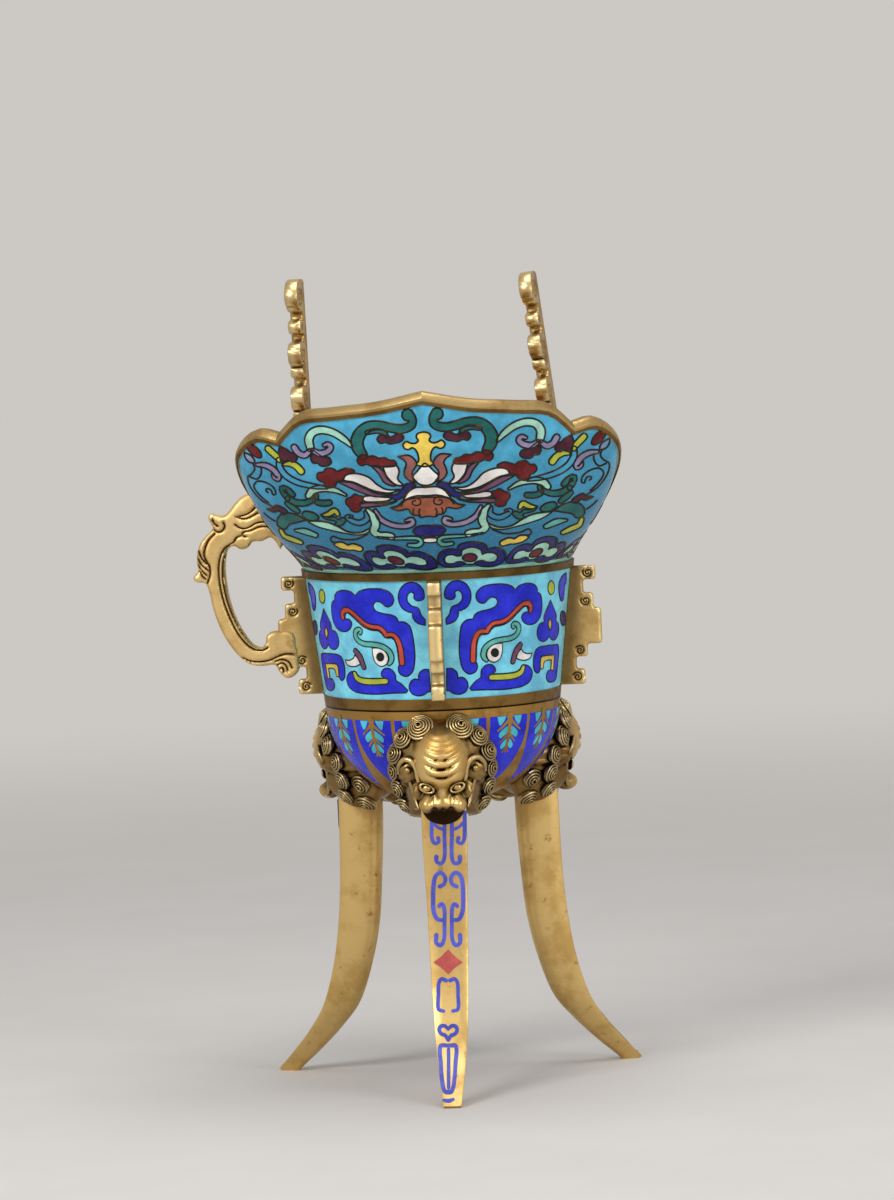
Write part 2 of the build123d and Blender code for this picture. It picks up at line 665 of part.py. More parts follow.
def post_solid(side, lean):
    """Post on one side (-1 the handle's side, 1 the plain side), leaning towards +X by an angle."""
    up = (sin(radians(lean)), 0, cos(radians(lean)))
    level = Plane(origin=(side * POST_X, POST_Y, POST_Z), x_dir=(0, 1, 0), z_dir=(up[2], 0, -up[0]))
    with BuildPart() as post:
        with BuildSketch(level):
            with Locations((POST_SPINE / 2, POST_HEIGHT / 2 - POST_CLIP_DROP / 2)):
                RectangleRounded(POST_SPINE, POST_HEIGHT + POST_CLIP_DROP, POST_SPINE / 3)
            with Locations((POST_SPINE / 2 - POST_LOBE / 2, POST_HEIGHT - POST_HEAD / 2)):
                RectangleRounded(POST_SPINE + POST_LOBE, POST_HEAD, POST_HEAD / 3)
            with Locations((0, POST_HEIGHT - POST_HEAD - POST_KNOB)):
                Circle(POST_KNOB / 2)
            for number in range(POST_SCROLLS):
                low = POST_HEIGHT - POST_HEAD - 2 * POST_KNOB - number * SCROLL_PITCH
                with Locations((POST_SPINE / 2 - POST_LOBE / 2, low - POST_BLOCK / 2)):
                    RectangleRounded(POST_SPINE + POST_LOBE, POST_BLOCK, POST_BLOCK / 3)
                with Locations((0, low - POST_BLOCK - POST_KNOB / 2)):
                    Circle(POST_KNOB / 2)
        extrude(amount=POST_THICKNESS / 2, both=True)
        with Locations((side * POST_X, POST_Y + POST_SPINE / 2, POST_Z + POST_CLIP / 2 - POST_CLIP_DROP)):
            Box(POST_CLIP_WIDTH, POST_CLIP_LENGTH, POST_CLIP)
        cutter = lip_cutter(88, 140)
        add(cutter if side > 0 else cutter.mirror(Plane.YZ), mode=Mode.SUBTRACT)
    return post.part


keep(post_solid(-1, HANDLE_POST_LEAN), "post_handle_side")
keep(post_solid(1, PLAIN_POST_LEAN), "post_plain_side")
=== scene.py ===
# %% [markdown]
# A jue is a wine cup on three legs, with a pointed tail, a spout, one handle and two posts on its rim.
# This one is gilt bronze and copper, covered with cloisonne: fine wires soldered on edge to the copper,
# the cells between them filled with coloured glass and ground flush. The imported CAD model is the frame
# that everything sits on, and it comes in first. Every drawn size here is in millimetres, and one factor
# turns it into Blender's metres when a mesh is made.

# %% Load the frame
from math import atan2, ceil, cos, exp, pi, radians, sin, sqrt

import bmesh
import bpy
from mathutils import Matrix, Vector
from mathutils.bvhtree import BVHTree
from mathutils.geometry import delaunay_2d_cdt
from mathutils.kdtree import KDTree


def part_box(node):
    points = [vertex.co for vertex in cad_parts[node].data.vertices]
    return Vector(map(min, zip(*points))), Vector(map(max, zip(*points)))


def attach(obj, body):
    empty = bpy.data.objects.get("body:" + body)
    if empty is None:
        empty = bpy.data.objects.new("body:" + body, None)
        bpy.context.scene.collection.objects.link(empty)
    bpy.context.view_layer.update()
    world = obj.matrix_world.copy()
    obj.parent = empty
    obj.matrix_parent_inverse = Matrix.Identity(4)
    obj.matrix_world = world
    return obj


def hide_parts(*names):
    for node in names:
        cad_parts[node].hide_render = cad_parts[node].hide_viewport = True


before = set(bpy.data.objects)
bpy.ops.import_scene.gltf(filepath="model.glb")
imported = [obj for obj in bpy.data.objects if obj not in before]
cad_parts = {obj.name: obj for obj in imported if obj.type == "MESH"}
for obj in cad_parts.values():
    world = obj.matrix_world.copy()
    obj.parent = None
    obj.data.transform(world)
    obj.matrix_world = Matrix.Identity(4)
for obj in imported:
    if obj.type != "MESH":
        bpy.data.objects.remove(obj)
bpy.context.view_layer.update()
MM = 0.001
print("CAD nodes:", len(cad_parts))

# %% [markdown]
# The levels and radii come from the frame itself. They could be typed again from the drawing, but then a
# change to the CAD model would leave the looks behind. The two rings tell most of it: the bowl ends under
# the lower one, the band runs between them, and the mouth starts on the upper one.

# %% Levels and radii
BAND_OVERHANG = 0.2
BAND_FLARE = 3.2


def low(node, axis=2):
    """Lowest coordinate of a CAD node along an axis, in millimetres."""
    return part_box(node)[0][axis] / MM


def high(node, axis=2):
    """Highest coordinate of a CAD node along an axis, in millimetres."""
    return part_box(node)[1][axis] / MM


BOWL_FOOT_Z = low("bowl")
BOWL_RIM_Z = low("band_foot_ring")
PANEL_Z = high("band_foot_ring")
PANEL_TOP_Z = low("neck_ring")
NECK_Z = high("neck_ring")
BOWL_RADIUS = high("bowl", 0)
BOWL_DEPTH = BOWL_RIM_Z - BOWL_FOOT_Z
BAND_RADIUS = BOWL_RADIUS + BAND_OVERHANG
BAND_SLOPE = BAND_FLARE / (PANEL_TOP_Z - PANEL_Z)


def band_radius(z):
    """Outside of the band at a height."""
    return BAND_RADIUS + BAND_SLOPE * (z - PANEL_Z)


NECK_RADIUS = band_radius(NECK_Z)
print("neck at", round(NECK_Z, 1), "mm, radius", round(NECK_RADIUS, 2))

# %% [markdown]
# The camera stands where the photographer's did: a long lens about a metre and a half away, a little above
# the rim, a touch to the right, with the picture slightly rolled. It is made first, because a line of
# sight through a point of the photograph is also how the enamel's drawing finds its place on the vessel.

# %% Camera
PHOTO_WIDTH = 894
PHOTO_HEIGHT = 1200
SENSOR = 36.0
LENS = 205.0
FOCAL = LENS / SENSOR * PHOTO_HEIGHT
STAND_OFF = 1500.0
EYE_Z = 216.0
AIM_Z = 106.0
AIM_SIDE = 1.76
AZIMUTH = radians(1.8)
ROLL = radians(2.3)
FAR_CLIP = 20

aim = Vector((AIM_SIDE * cos(AZIMUTH), AIM_SIDE * sin(AZIMUTH), AIM_Z))
eye = Vector((aim.x + STAND_OFF * sin(AZIMUTH), aim.y - STAND_OFF * cos(AZIMUTH), EYE_Z))
forward = (aim - eye).normalized()
level_right = forward.cross(Vector((0, 0, 1))).normalized()
level_up = level_right.cross(forward)
view_right = level_right * cos(ROLL) - level_up * sin(ROLL)
view_up = level_up * cos(ROLL) + level_right * sin(ROLL)

lens = bpy.data.cameras.new("photo_camera")
lens.lens = LENS
lens.sensor_fit = "VERTICAL"
lens.sensor_height = SENSOR
lens.clip_end = FAR_CLIP
camera = bpy.data.objects.new("photo_camera", lens)
bpy.context.collection.objects.link(camera)
turn = camera.matrix_world.to_3x3()
turn.col[0] = view_right
turn.col[1] = view_up
turn.col[2] = -forward
camera.matrix_world = turn.to_4x4()
camera.location = eye * MM
bpy.context.scene.camera = camera


def sight(px, py):
    """Direction from the eye through a pixel of the photograph."""
    across = view_right * ((px - PHOTO_WIDTH / 2) / FOCAL)
    down = view_up * ((py - PHOTO_HEIGHT / 2) / FOCAL)
    return (forward + across - down).normalized()


print("eye at", [round(value) for value in eye])

# %% [markdown]
# Shader graphs read best as sums. The class below wraps a node's output socket, so that a mask can be
# written as `1 - spots * wear` and each operator adds its Math node. The other way, a call for every node
# and every link, hides the formula in the wiring.

# %% Sockets as expressions


class Signal:
    """An output socket of a node tree, with arithmetic."""

    def __init__(self, graph, socket):
        self.graph = graph
        self.socket = socket

    def math(self, operation, first, second):
        return self.graph.node("ShaderNodeMath", {"operation": operation}, {0: first, 1: second})

    def __add__(self, other):
        return self.math("ADD", self, other)

    def __radd__(self, other):
        return self.math("ADD", other, self)

    def __sub__(self, other):
        return self.math("SUBTRACT", self, other)

    def __rsub__(self, other):
        return self.math("SUBTRACT", other, self)

    def __mul__(self, other):
        return self.math("MULTIPLY", self, other)

    def __rmul__(self, other):
        return self.math("MULTIPLY", other, self)

    def above(self, low_end, high_end):
        """Rise from 0 to 1 between two values."""
        sockets = {"Value": self, "From Min": low_end, "From Max": high_end}
        return self.graph.node("ShaderNodeMapRange", {"interpolation_type": "SMOOTHSTEP"}, sockets)


print("operators on sockets: + - *")

# %% [markdown]
# Every other node comes from one method, which takes the node's type, its settings, and what goes into
# its sockets: a value, or another node's output. The floor, the world and the finishes all use it.
# A function for each kind of node would say the same thing many times.

# %% Node trees


class Graph:
    """A node tree under construction."""

    def __init__(self, tree):
        self.tree = tree

    def node(self, kind, settings=None, sockets=None, out=0):
        """Add a node, set it up, join its inputs and return one output."""
        made = self.tree.nodes.new(kind)
        for name, value in (settings or {}).items():
            setattr(made, name, value)
        self.join(made, sockets or {})
        return Signal(self, made.outputs[out])

    def join(self, made, sockets):
        for name, value in sockets.items():
            if isinstance(value, Signal):
                self.tree.links.new(value.socket, made.inputs[name])
            else:
                made.inputs[name].default_value = value

    def seen_directly(self):
        """1 for what a camera, a mirror or a lens shows, else 0."""
        total = self.node("ShaderNodeLightPath", out="Is Camera Ray")
        for ray in ("Is Glossy Ray", "Is Transmission Ray"):
            found = self.node("ShaderNodeLightPath", out=ray)
            total = self.node("ShaderNodeMath", {"operation": "ADD", "use_clamp": True}, {0: total, 1: found})
        return total


print("one method adds every other node:", Graph.node.__name__)

# %% [markdown]
# A finish is a material whose graph ends in the Principled shader. Its sizes are given in millimetres, and
# its colours as a picture shows them. Image textures would need the mesh to be unwrapped, while noise in
# the object's own space runs on over every seam.

# %% Finishes


class Finish(Graph):
    """One procedural material under construction."""

    def __init__(self, name):
        self.material = bpy.data.materials.new(name)
        self.material.use_nodes = True
        super().__init__(self.material.node_tree)
        self.shader = self.tree.nodes["Principled BSDF"]
        self.place = self.node("ShaderNodeTexCoord", out="Object")

    def noise(self, size, detail=3.0, roughness=0.55):
        """Soft noise with features of about this size in millimetres."""
        sockets = {"Vector": self.place, "Scale": 1 / (size * MM), "Detail": detail, "Roughness": roughness}
        return self.node("ShaderNodeTexNoise", None, sockets)

    def level(self):
        return self.node("ShaderNodeSeparateXYZ", None, {0: self.place}, out="Z")

    def height(self, low_end, high_end):
        """Rise from 0 to 1 between two heights in millimetres."""
        return self.level().above(low_end * MM, high_end * MM)

    def from_axis(self, lean):
        """Distance from the vessel's axis, less what a leaning wall gains with height."""
        flat = self.node("ShaderNodeVectorMath", {"operation": "MULTIPLY"}, {0: self.place, 1: (1, 1, 0)})
        away = self.node("ShaderNodeVectorMath", {"operation": "LENGTH"}, {0: flat}, out="Value")
        return away - self.level() * lean

    def openness(self, reach):
        """How much of the sky a point sees past its own piece, within a reach in millimetres."""
        settings = {"samples": 8, "only_local": True}
        return self.node("ShaderNodeAmbientOcclusion", settings, {"Distance": reach * MM}, out="AO")

    def blend(self, mask, first, second):
        """Colour that goes from the first to the second as the mask rises."""
        return self.node("ShaderNodeMix", {"data_type": "RGBA"}, {0: mask, 6: first, 7: second}, out=2)

    def bump(self, height, strength, depth):
        sockets = {"Height": height, "Strength": strength, "Distance": depth * MM}
        return self.node("ShaderNodeBump", None, sockets)

    def surface(self, **sockets):
        """Join sockets of the shader, each named with _ for a space, and give the material."""
        self.join(self.shader, {name.replace("_", " "): value for name, value in sockets.items()})
        return self.material


def rgb(red, green, blue):
    """Linear colour from the 0 to 255 values a picture shows."""
    shares = [value / 255 for value in (red, green, blue)]
    linear = [s / 12.92 if s <= 0.04045 else ((s + 0.055) / 1.055) ** 2.4 for s in shares]
    return (*linear, 1.0)


print("mid grey in linear light:", round(rgb(128, 128, 128)[0], 3))

# %% [markdown]
# Gilding over bronze is never one colour. It is bright where fingers polish it, brown in the hollows, and
# thin and coppery in patches. Two noises make patches and stains, and a third the fine pitting. On the
# carved pieces the mesh's own pointiness darkens hollows and lightens ridges, and ambient occlusion darkens
# the nooks: partly patina and rubbed wear, partly painted shade and painted highlight. Flanges and masks
# are also painted brown close to the vessel's wall, partly as patina and mostly as painted shade.

# %% Gilt
PATCH_SIZE = 7.0
STAIN_SIZE = 2.2
GRAIN_SIZE = 0.5
PIT_DEPTH = 0.05
WALL_PATINA_AND_SHADE_BROWN = rgb(92, 66, 32)
RUBBED_GOLD_AND_HIGHLIGHT = rgb(250, 232, 180)
SEAM_BLACK = rgb(16, 11, 6)


def gilt(name, bright, worn, dirt_and_shade, polish=0.3, pits=0.5, patina_and_shade_nook_reach=0.0, seam=None, patina_and_shade_near_wall=None):
    """Worn gilding: two colours in patches, dirt in stains, a dark seam, and darkening in nooks and near the
    wall and lightening on ridges that is partly patina and wear, partly painted shade and painted highlight.
    """
    finish = Finish(name)
    dirt_and_shade_tone = rgb(*dirt_and_shade)
    patches = finish.noise(PATCH_SIZE, 5.0, 0.6).above(0.42, 0.66)
    stains = finish.noise(STAIN_SIZE, 4.0, 0.65).above(0.6, 0.74)
    grain = finish.noise(GRAIN_SIZE, 2.0)
    colour = finish.blend(patches * 0.75, rgb(*bright), rgb(*worn))
    colour = finish.blend(stains * 0.55, colour, dirt_and_shade_tone)
    # Painted shade, partly patina: brown deepens the nearer the surface lies to the vessel's axis, where
    # flanges and masks meet the wall.
    if patina_and_shade_near_wall:
        near, far, lean = patina_and_shade_near_wall
        wall_patina_and_shade = 1 - finish.from_axis(lean).above(near * MM, far * MM)
        colour = finish.blend(wall_patina_and_shade * 0.8, colour, WALL_PATINA_AND_SHADE_BROWN)
    # Partly patina and dirt, partly painted shade: pointiness darkens hollows and ambient occlusion darkens
    # nooks.
    if patina_and_shade_nook_reach:
        edge = finish.node("ShaderNodeNewGeometry", out="Pointiness")
        colour = finish.blend(1 - edge.above(0.40, 0.5), colour, dirt_and_shade_tone)
        # Partly rubbed wear, partly painted highlight: ridges found by pointiness turn towards pale gold.
        colour = finish.blend(edge.above(0.53, 0.62) * 0.6, colour, RUBBED_GOLD_AND_HIGHLIGHT)
        colour = finish.blend((1 - finish.openness(patina_and_shade_nook_reach).above(0.35, 0.92)) * 0.92, colour, dirt_and_shade_tone)
    if seam is not None:
        colour = finish.blend(1 - finish.height(seam + 0.2, seam + 0.6), colour, SEAM_BLACK)
    rough = polish + patches * 0.12 + stains * 0.15 + grain * 0.12
    normal = finish.bump(grain + stains * 0.5, pits, PIT_DEPTH)
    return finish.surface(Base_Color=colour, Metallic=1.0, Roughness=rough, Normal=normal)


# Radii from the axis for the brown near the wall on flanges and masks: partly patina, mostly painted shade.
BAND_START = BAND_RADIUS - BAND_SLOPE * PANEL_Z
BAND_PATINA_AND_SHADE = (BAND_START + 1.0, BAND_START + 5.0, BAND_SLOPE)
MASK_PATINA_AND_SHADE = (27.0, 33.0, 0.0)
GILDING = {
    "gilt_matt": dict(bright=(224, 192, 130), worn=(188, 152, 92), dirt_and_shade=(84, 56, 24), polish=0.4, patina_and_shade_nook_reach=2.6),
    # The bowl is a darker brown copy of the gilding: painted shade.
    "gilt_bowl_painted_shade": dict(bright=(170, 132, 68), worn=(118, 86, 40), dirt_and_shade=(74, 50, 22), polish=0.34),
    "gilt_smooth": dict(bright=(216, 182, 114), worn=(172, 134, 72), dirt_and_shade=(110, 76, 32), polish=0.24,
                        pits=0.3),
    # Two copies of the rim's gilding: painted shade on its lower faces, painted light on its upper faces.
    "gilt_rim_painted_shade": dict(bright=(128, 100, 56), worn=(90, 68, 34), dirt_and_shade=(56, 40, 18), polish=0.36),
    "gilt_rim_painted_light": dict(bright=(186, 158, 106), worn=(142, 114, 66), dirt_and_shade=(88, 64, 30), polish=0.3),
    "gilt_leg": dict(bright=(214, 182, 118), worn=(186, 150, 86), dirt_and_shade=(120, 84, 38), polish=0.34, pits=0.4),
    "gilt_mask": dict(bright=(236, 200, 128), worn=(188, 142, 72), dirt_and_shade=(46, 29, 12), polish=0.25, patina_and_shade_nook_reach=3.4,
                      patina_and_shade_near_wall=MASK_PATINA_AND_SHADE),
    "gilt_flange": dict(bright=(220, 188, 124), worn=(184, 148, 88), dirt_and_shade=(70, 46, 20), polish=0.36,
                        patina_and_shade_nook_reach=2.6, patina_and_shade_near_wall=BAND_PATINA_AND_SHADE),
    "gilt_post": dict(bright=(188, 156, 100), worn=(136, 104, 58), dirt_and_shade=(56, 40, 20), polish=0.28, patina_and_shade_nook_reach=1.6),
    "gilt_foot": dict(bright=(138, 107, 58), worn=(96, 70, 32), dirt_and_shade=(62, 42, 18), polish=0.36,
                      seam=BOWL_RIM_Z),
    # The neck ring is a dark brown copy of the gilding: painted shade under the flare.
    "gilt_neck_painted_shade": dict(bright=(112, 88, 46), worn=(72, 54, 26), dirt_and_shade=(36, 26, 12), polish=0.36),
    # Near-black gilding for the painted shadow under each lion's nose.
    "gilt_soot": dict(bright=(58, 42, 22), worn=(40, 28, 14), dirt_and_shade=(24, 16, 8), polish=0.45),
    "gilt_line": dict(bright=(176, 136, 66), worn=(132, 98, 46), dirt_and_shade=(84, 58, 24), polish=0.34, pits=0.2),
    "gilt_inside": dict(bright=(205, 168, 98), worn=(170, 120, 64), dirt_and_shade=(70, 46, 18), polish=0.34),
}
FINISHES = {name: gilt(name, **tones) for name, tones in GILDING.items()}
print("kinds of gilding:", len(FINISHES))

# %% [markdown]
# Cloison wire is gilded too, but it is ground down level with the glass. What is left is a thin line, given
# a near-black colour that stands for the dark surroundings it reflects, a painted reflection, and rubbed
# brighter in places, so it has a simpler finish of its own.

# %% Cloison wire


def wire_finish():
    """Gilt wire rubbed down level with the glass, near-black as a painted dark reflection, brighter in noisy
    patches.
    """
    finish = Finish("cloison_wire")
    rubbed = finish.noise(3.0, 3.0).above(0.5, 0.7)
    # Painted reflection: near-black stands for dark surroundings mirrored in the wire; noise rubs it
    # brighter.
    colour = finish.blend(rubbed * 0.5, rgb(30, 27, 18), rgb(98, 78, 38))
    return finish.surface(Base_Color=colour, Metallic=0.55, Roughness=0.42 - rubbed * 0.1)


FINISHES["wire"] = wire_finish()
print("wire finish:", FINISHES["wire"].name)

# %% [markdown]
# Each enamel is ground glass fused in its cell. It shows clouds of a lighter and darker tone, tiny pits
# left by bubbles, and a polish that is good but not perfect. One function makes every colour. Only the
# mouth's ground needs more: it is painted darker towards the neck, a painted shade under the flare.

# %% Enamel finishes
PALETTE = {
    "turquoise": (80, 172, 208),
    "sky": (122, 211, 243),
    "cobalt": (30, 40, 206),
    "navy": (22, 24, 112),
    "coral": (198, 74, 58),
    "crimson": (104, 12, 16),
    "maroon": (74, 20, 42),
    "rose": (142, 88, 84),
    "copper_red": (152, 84, 58),
    "yellow": (232, 200, 84),
    "lime": (176, 184, 58),
    "teal": (20, 98, 94),
    "jade": (92, 178, 168),
    "mint": (160, 212, 190),
    "lilac": (150, 138, 176),
    "violet": (118, 76, 104),
    "white": (236, 228, 224),
    "black": (14, 12, 14),
    "periwinkle": (78, 86, 188),
    "leaf_green": (76, 188, 198),
    "coral_rose": (196, 92, 88),
}
# The mouth's ground is painted darker towards the neck between these heights: painted shade under the flare.
GROUND_PAINTED_SHADE = (45, 122, 160)
GROUND_SHADE_RISE = (NECK_Z + 4.0, NECK_Z + 36.0)


def shaded(colour, share, lift=0.0):
    """A linear colour made darker or lighter, never past white."""
    return (*[min(1.0, value * share + lift) for value in colour[:3]], 1.0)


def enamel(name, colour):
    """Opaque glass with clouds, bubble pits and a hand-ground polish."""
    finish = Finish("enamel_" + name)
    base = rgb(*colour)
    pale = shaded(base, 1.25, 0.014)
    clouds = finish.noise(5.0, 4.0, 0.6).above(0.34, 0.68)
    grains = finish.noise(0.45, 2.0, 0.6)
    pits = finish.noise(0.7, 1.0, 0.4).above(0.72, 0.78)
    tone = finish.blend(clouds, shaded(base, 0.84), pale)
    # Painted shade: darker towards the neck.
    if name == "turquoise":
        tone = finish.blend(finish.height(*GROUND_SHADE_RISE), rgb(*GROUND_PAINTED_SHADE), tone)
    tone = finish.blend(grains.above(0.56, 0.72) * 0.35, tone, pale)
    tone = finish.blend(pits * 0.35, tone, shaded(base, 0.3))
    rough = 0.2 + grains * 0.12 + pits * 0.3
    normal = finish.bump(grains * 0.4 - pits, 0.35, 0.04)
    return finish.surface(Base_Color=tone, Roughness=rough, Normal=normal, Specular_IOR_Level=0.2)


for name, colour in PALETTE.items():
    FINISHES[name] = enamel(name, colour)
print("enamel colours:", len(PALETTE))

# %% [markdown]
# Pieces are gathered as points and faces, each face with the name of its finish, and turned into one mesh
# object at the end. Modifiers could thicken and smooth a rough cage instead, but the patterns have to land
# on exact places. Each object hides the CAD nodes it stands for.

# %% Gathering points and faces


class Stock:
    """Points in millimetres and faces with finishes, to become one piece."""

    def __init__(self):
        self.points = []
        self.faces = []
        self.worn = []

    def add(self, points, faces, finish):
        start = len(self.points)
        self.points += [Vector(point) for point in points]
        self.faces += [[start + corner for corner in face] for face in faces]
        self.worn += [finish] * len(faces)

    def grid(self, rows, finish, closed=False, flip=False):
        """Skin over rows of points, each row as long as the last."""
        wide = len(rows[0])
        faces = []
        for r in range(len(rows) - 1):
            for c in range(wide if closed else wide - 1):
                after = (c + 1) % wide
                face = [r * wide + c, r * wide + after, (r + 1) * wide + after, (r + 1) * wide + c]
                faces.append(face[::-1] if flip else face)
        self.add([point for row in rows for point in row], faces, finish)

    def piece(self, name, slot, nodes=(), sharp=radians(50), solid=False):
        """Make the object, put it on the vessel's one body and hide the CAD nodes it stands for."""
        mesh = bpy.data.meshes.new(name)
        mesh.from_pydata([point * MM for point in self.points], [], self.faces)
        names = list(dict.fromkeys(self.worn))
        for finish in names:
            mesh.materials.append(FINISHES[finish])
        mesh.polygons.foreach_set("material_index", [names.index(finish) for finish in self.worn])
        mesh.polygons.foreach_set("use_smooth", [True] * len(mesh.polygons))
        if solid:
            form = bmesh.new()
            form.from_mesh(mesh)
            bmesh.ops.recalc_face_normals(form, faces=form.faces)
            form.to_mesh(mesh)
            form.free()
        mesh.set_sharp_from_angle(angle=sharp)
        mesh.update()
        made = bpy.data.objects.new(name, mesh)
        bpy.context.collection.objects.link(made)
        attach(made, "root")
        if nodes:
            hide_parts(*nodes)
        print(name, "has", len(mesh.polygons), "faces")


print("finishes to choose from:", len(FINISHES))

# %% [markdown]
# The mouth flares like the bow of a boat. Its lip is given by a few rows round one side: the angle from
# the tail, how far it reaches past the neck, how high it rises, and where the wall bends on its way. The
# same rows drive the CAD wall, and a smooth curve through them gives the wall at any angle.

# %% Rows of the lip
TAIL_SPAN = [
    (0.0, 31.1, 40.4, 0.86, 0.30),
    (9.9, 29.0, 38.4, 0.86, 0.30),
    (20.5, 27.7, 37.4, 0.85, 0.31),
    (28.6, 27.0, 36.4, 0.84, 0.32),
    (34.6, 26.5, 32.0, 0.83, 0.34),
]
SIDE_SPAN = [
    TAIL_SPAN[-1],
    (40.3, 27.2, 32.9, 0.82, 0.34),
    (47.0, 26.2, 29.6, 0.80, 0.34),
    (54.0, 21.6, 25.0, 0.78, 0.35),
    (62.0, 14.8, 18.6, 0.72, 0.38),
    (72.0, 8.0, 12.4, 0.66, 0.42),
    (88.0, 3.2, 8.9, 0.60, 0.45),
    (106.0, 2.2, 8.4, 0.60, 0.45),
    (126.0, 2.3, 9.4, 0.62, 0.42),
    (143.0, 4.6, 12.0, 0.66, 0.38),
    (154.0, 13.0, 16.4, 0.62, 0.33),
    (161.5, 25.6, 21.6, 0.60, 0.29),
    (166.0, 36.6, 25.4, 0.62, 0.26),
    (171.5, 40.0, 21.0, 0.56, 0.24),
    (180.0, 40.8, 15.5, 0.52, 0.22),
]
RIM_HEIGHT = 2.5
print("rows of the lip:", len(TAIL_SPAN) + len(SIDE_SPAN) - 1)

# %% [markdown]
# Between those rows every value follows a smooth curve, which may break only at the tail's two corners. At
# any angle the wall is then a bow from the neck, past a bend, to the lip. Points on it are asked for by an
# angle and a share of the way up, which is also how the patterns are laid on it later.

# %% The wall at any angle


def slope(rows, number, column):
    """Slope of one column at one row, level in the middle of the spout."""
    if rows is SIDE_SPAN and number == len(rows) - 1:
        return 0.0
    before = rows[max(number - 1, 0)]
    after = rows[min(number + 1, len(rows) - 1)]
    return (after[column] - before[column]) / (after[0] - before[0])


def lip_row(angle):
    """Reach, height and bend of the wall at an angle from the tail, either way round."""
    angle = abs((angle + 180) % 360 - 180)
    rows = TAIL_SPAN if angle < TAIL_SPAN[-1][0] else SIDE_SPAN
    number = max(n for n in range(len(rows) - 1) if rows[n][0] <= angle)
    start, end = rows[number], rows[number + 1]
    gap = end[0] - start[0]
    t = (angle - start[0]) / gap
    values = []
    for column in range(1, len(start)):
        ends = start[column] * (1 + 2 * t) * (1 - t) ** 2 + end[column] * t**2 * (3 - 2 * t)
        leave = slope(rows, number, column) * gap * t * (1 - t) ** 2
        arrive = slope(rows, number + 1, column) * gap * t**2 * (t - 1)
        values.append(ends + leave + arrive)
    return values


def meridian(angle):
    """Neck, bend and lip of the wall's curve, as (radius, height)."""
    reach, height, bend_reach, bend_height = lip_row(angle)
    neck = Vector((NECK_RADIUS, NECK_Z))
    return neck, neck + Vector((reach * bend_reach, height * bend_height)), neck + Vector((reach, height))


def turned(angle, radius, z):
    """Point at an angle from the tail, towards +X."""
    return Vector((radius * sin(radians(angle)), -radius * cos(radians(angle)), z))


def wall_point(angle, share, inset=0.0):
    """Point on the mouth's wall, a share of the way from the neck to the lip."""
    neck, bend, lip = meridian(angle)
    spot = neck * (1 - share) ** 2 + bend * (2 * share * (1 - share)) + lip * share**2
    along = ((bend - neck) * (1 - share) + (lip - bend) * share).normalized()
    return turned(angle, spot.x - along.y * inset, spot.y + along.x * inset)


def under_rim(angle):
    """Share of the wall that lies below the rim moulding."""
    _, bend, lip = meridian(angle)
    return 1 - RIM_HEIGHT / (2 * (lip - bend).length)


LIP_STEP = 2.0
CUSP = TAIL_SPAN[-1][0]
HALF_WAY = sorted({LIP_STEP * n for n in range(int(180 / LIP_STEP) + 1)} | {CUSP})
ALL_ROUND = [-angle for angle in HALF_WAY[:0:-1]] + HALF_WAY[:-1]
print("lip sections:", len(ALL_ROUND))

# %% [markdown]
# The enamel skin of the mouth is a fine sheet over those curves, given a little depth so that it is a
# closed form. A Solidify modifier would do that too, but here both faces come from the same curves, so the
# back lies exactly on the copper.

# %% Mouth skin
WALL_STEPS = 26
SKIN_DEPTH = 0.6

mouth = Stock()
outside = []
backing = []
for step in range(WALL_STEPS + 1):
    shares = [under_rim(angle) * step / WALL_STEPS for angle in ALL_ROUND]
    outside.append([wall_point(angle, share) for angle, share in zip(ALL_ROUND, shares)])
    backing.append([wall_point(angle, share, SKIN_DEPTH) for angle, share in zip(ALL_ROUND, shares)])
mouth.grid(outside + backing[::-1] + outside[:1], "turquoise", closed=True)
mouth.piece("mouth_enamel_skin", "turquoise_enamel", ["mouth_enamel"])

# %% [markdown]
# The rim is a gilt moulding that follows the lip: an upright face below, a soft bevel above, and a fold over
# the wall's edge. A bevelled curve would twist its section at the tail's corners, so the section is set
# square to the wall at every angle. Its lower faces take a darker copy of the gilding, as painted shade
# because they are turned to the ground, and its upper faces a lighter copy, as painted light.

# %% Rim moulding
RIM_PROFILE = [
    (0.1, -2.56), (0.46, -2.5), (0.56, -2.3), (0.6, -1.7), (0.56, -1.16), (0.44, -0.98), (0.04, -0.52),
    (-0.3, -0.16), (-0.5, -0.04), (-0.8, 0.0), (-1.7, 0.0), (-2.2, -0.12), (-2.45, -0.5), (-2.5, -1.6),
    (-2.4, -3.05), (-0.4, -3.05),
]
RIM_PAINTED_SHADE_ROWS = 3


def rim_loop(angle):
    """The moulding's section at an angle: steps out from the wall and along it."""
    _, bend, lip = meridian(angle)
    along = (lip - bend).normalized()
    loop = []
    for out, up in RIM_PROFILE:
        radius = lip.x + along.y * out + along.x * up
        loop.append(turned(angle, radius, lip.y - along.x * out + along.y * up))
    return loop


rim = Stock()
loops = [rim_loop(angle) for angle in ALL_ROUND]
rim.grid(loops + loops[:1], "gilt_rim_painted_light", closed=True, flip=True)
# Painted shade: the lowest rows of every section take the rim's darker copy.
for number in range(len(rim.faces)):
    if number % len(RIM_PROFILE) < RIM_PAINTED_SHADE_ROWS:
        rim.worn[number] = "gilt_rim_painted_shade"
rim.piece("rim_moulding", "gilt_bronze", ["mouth_rim"], sharp=radians(28))

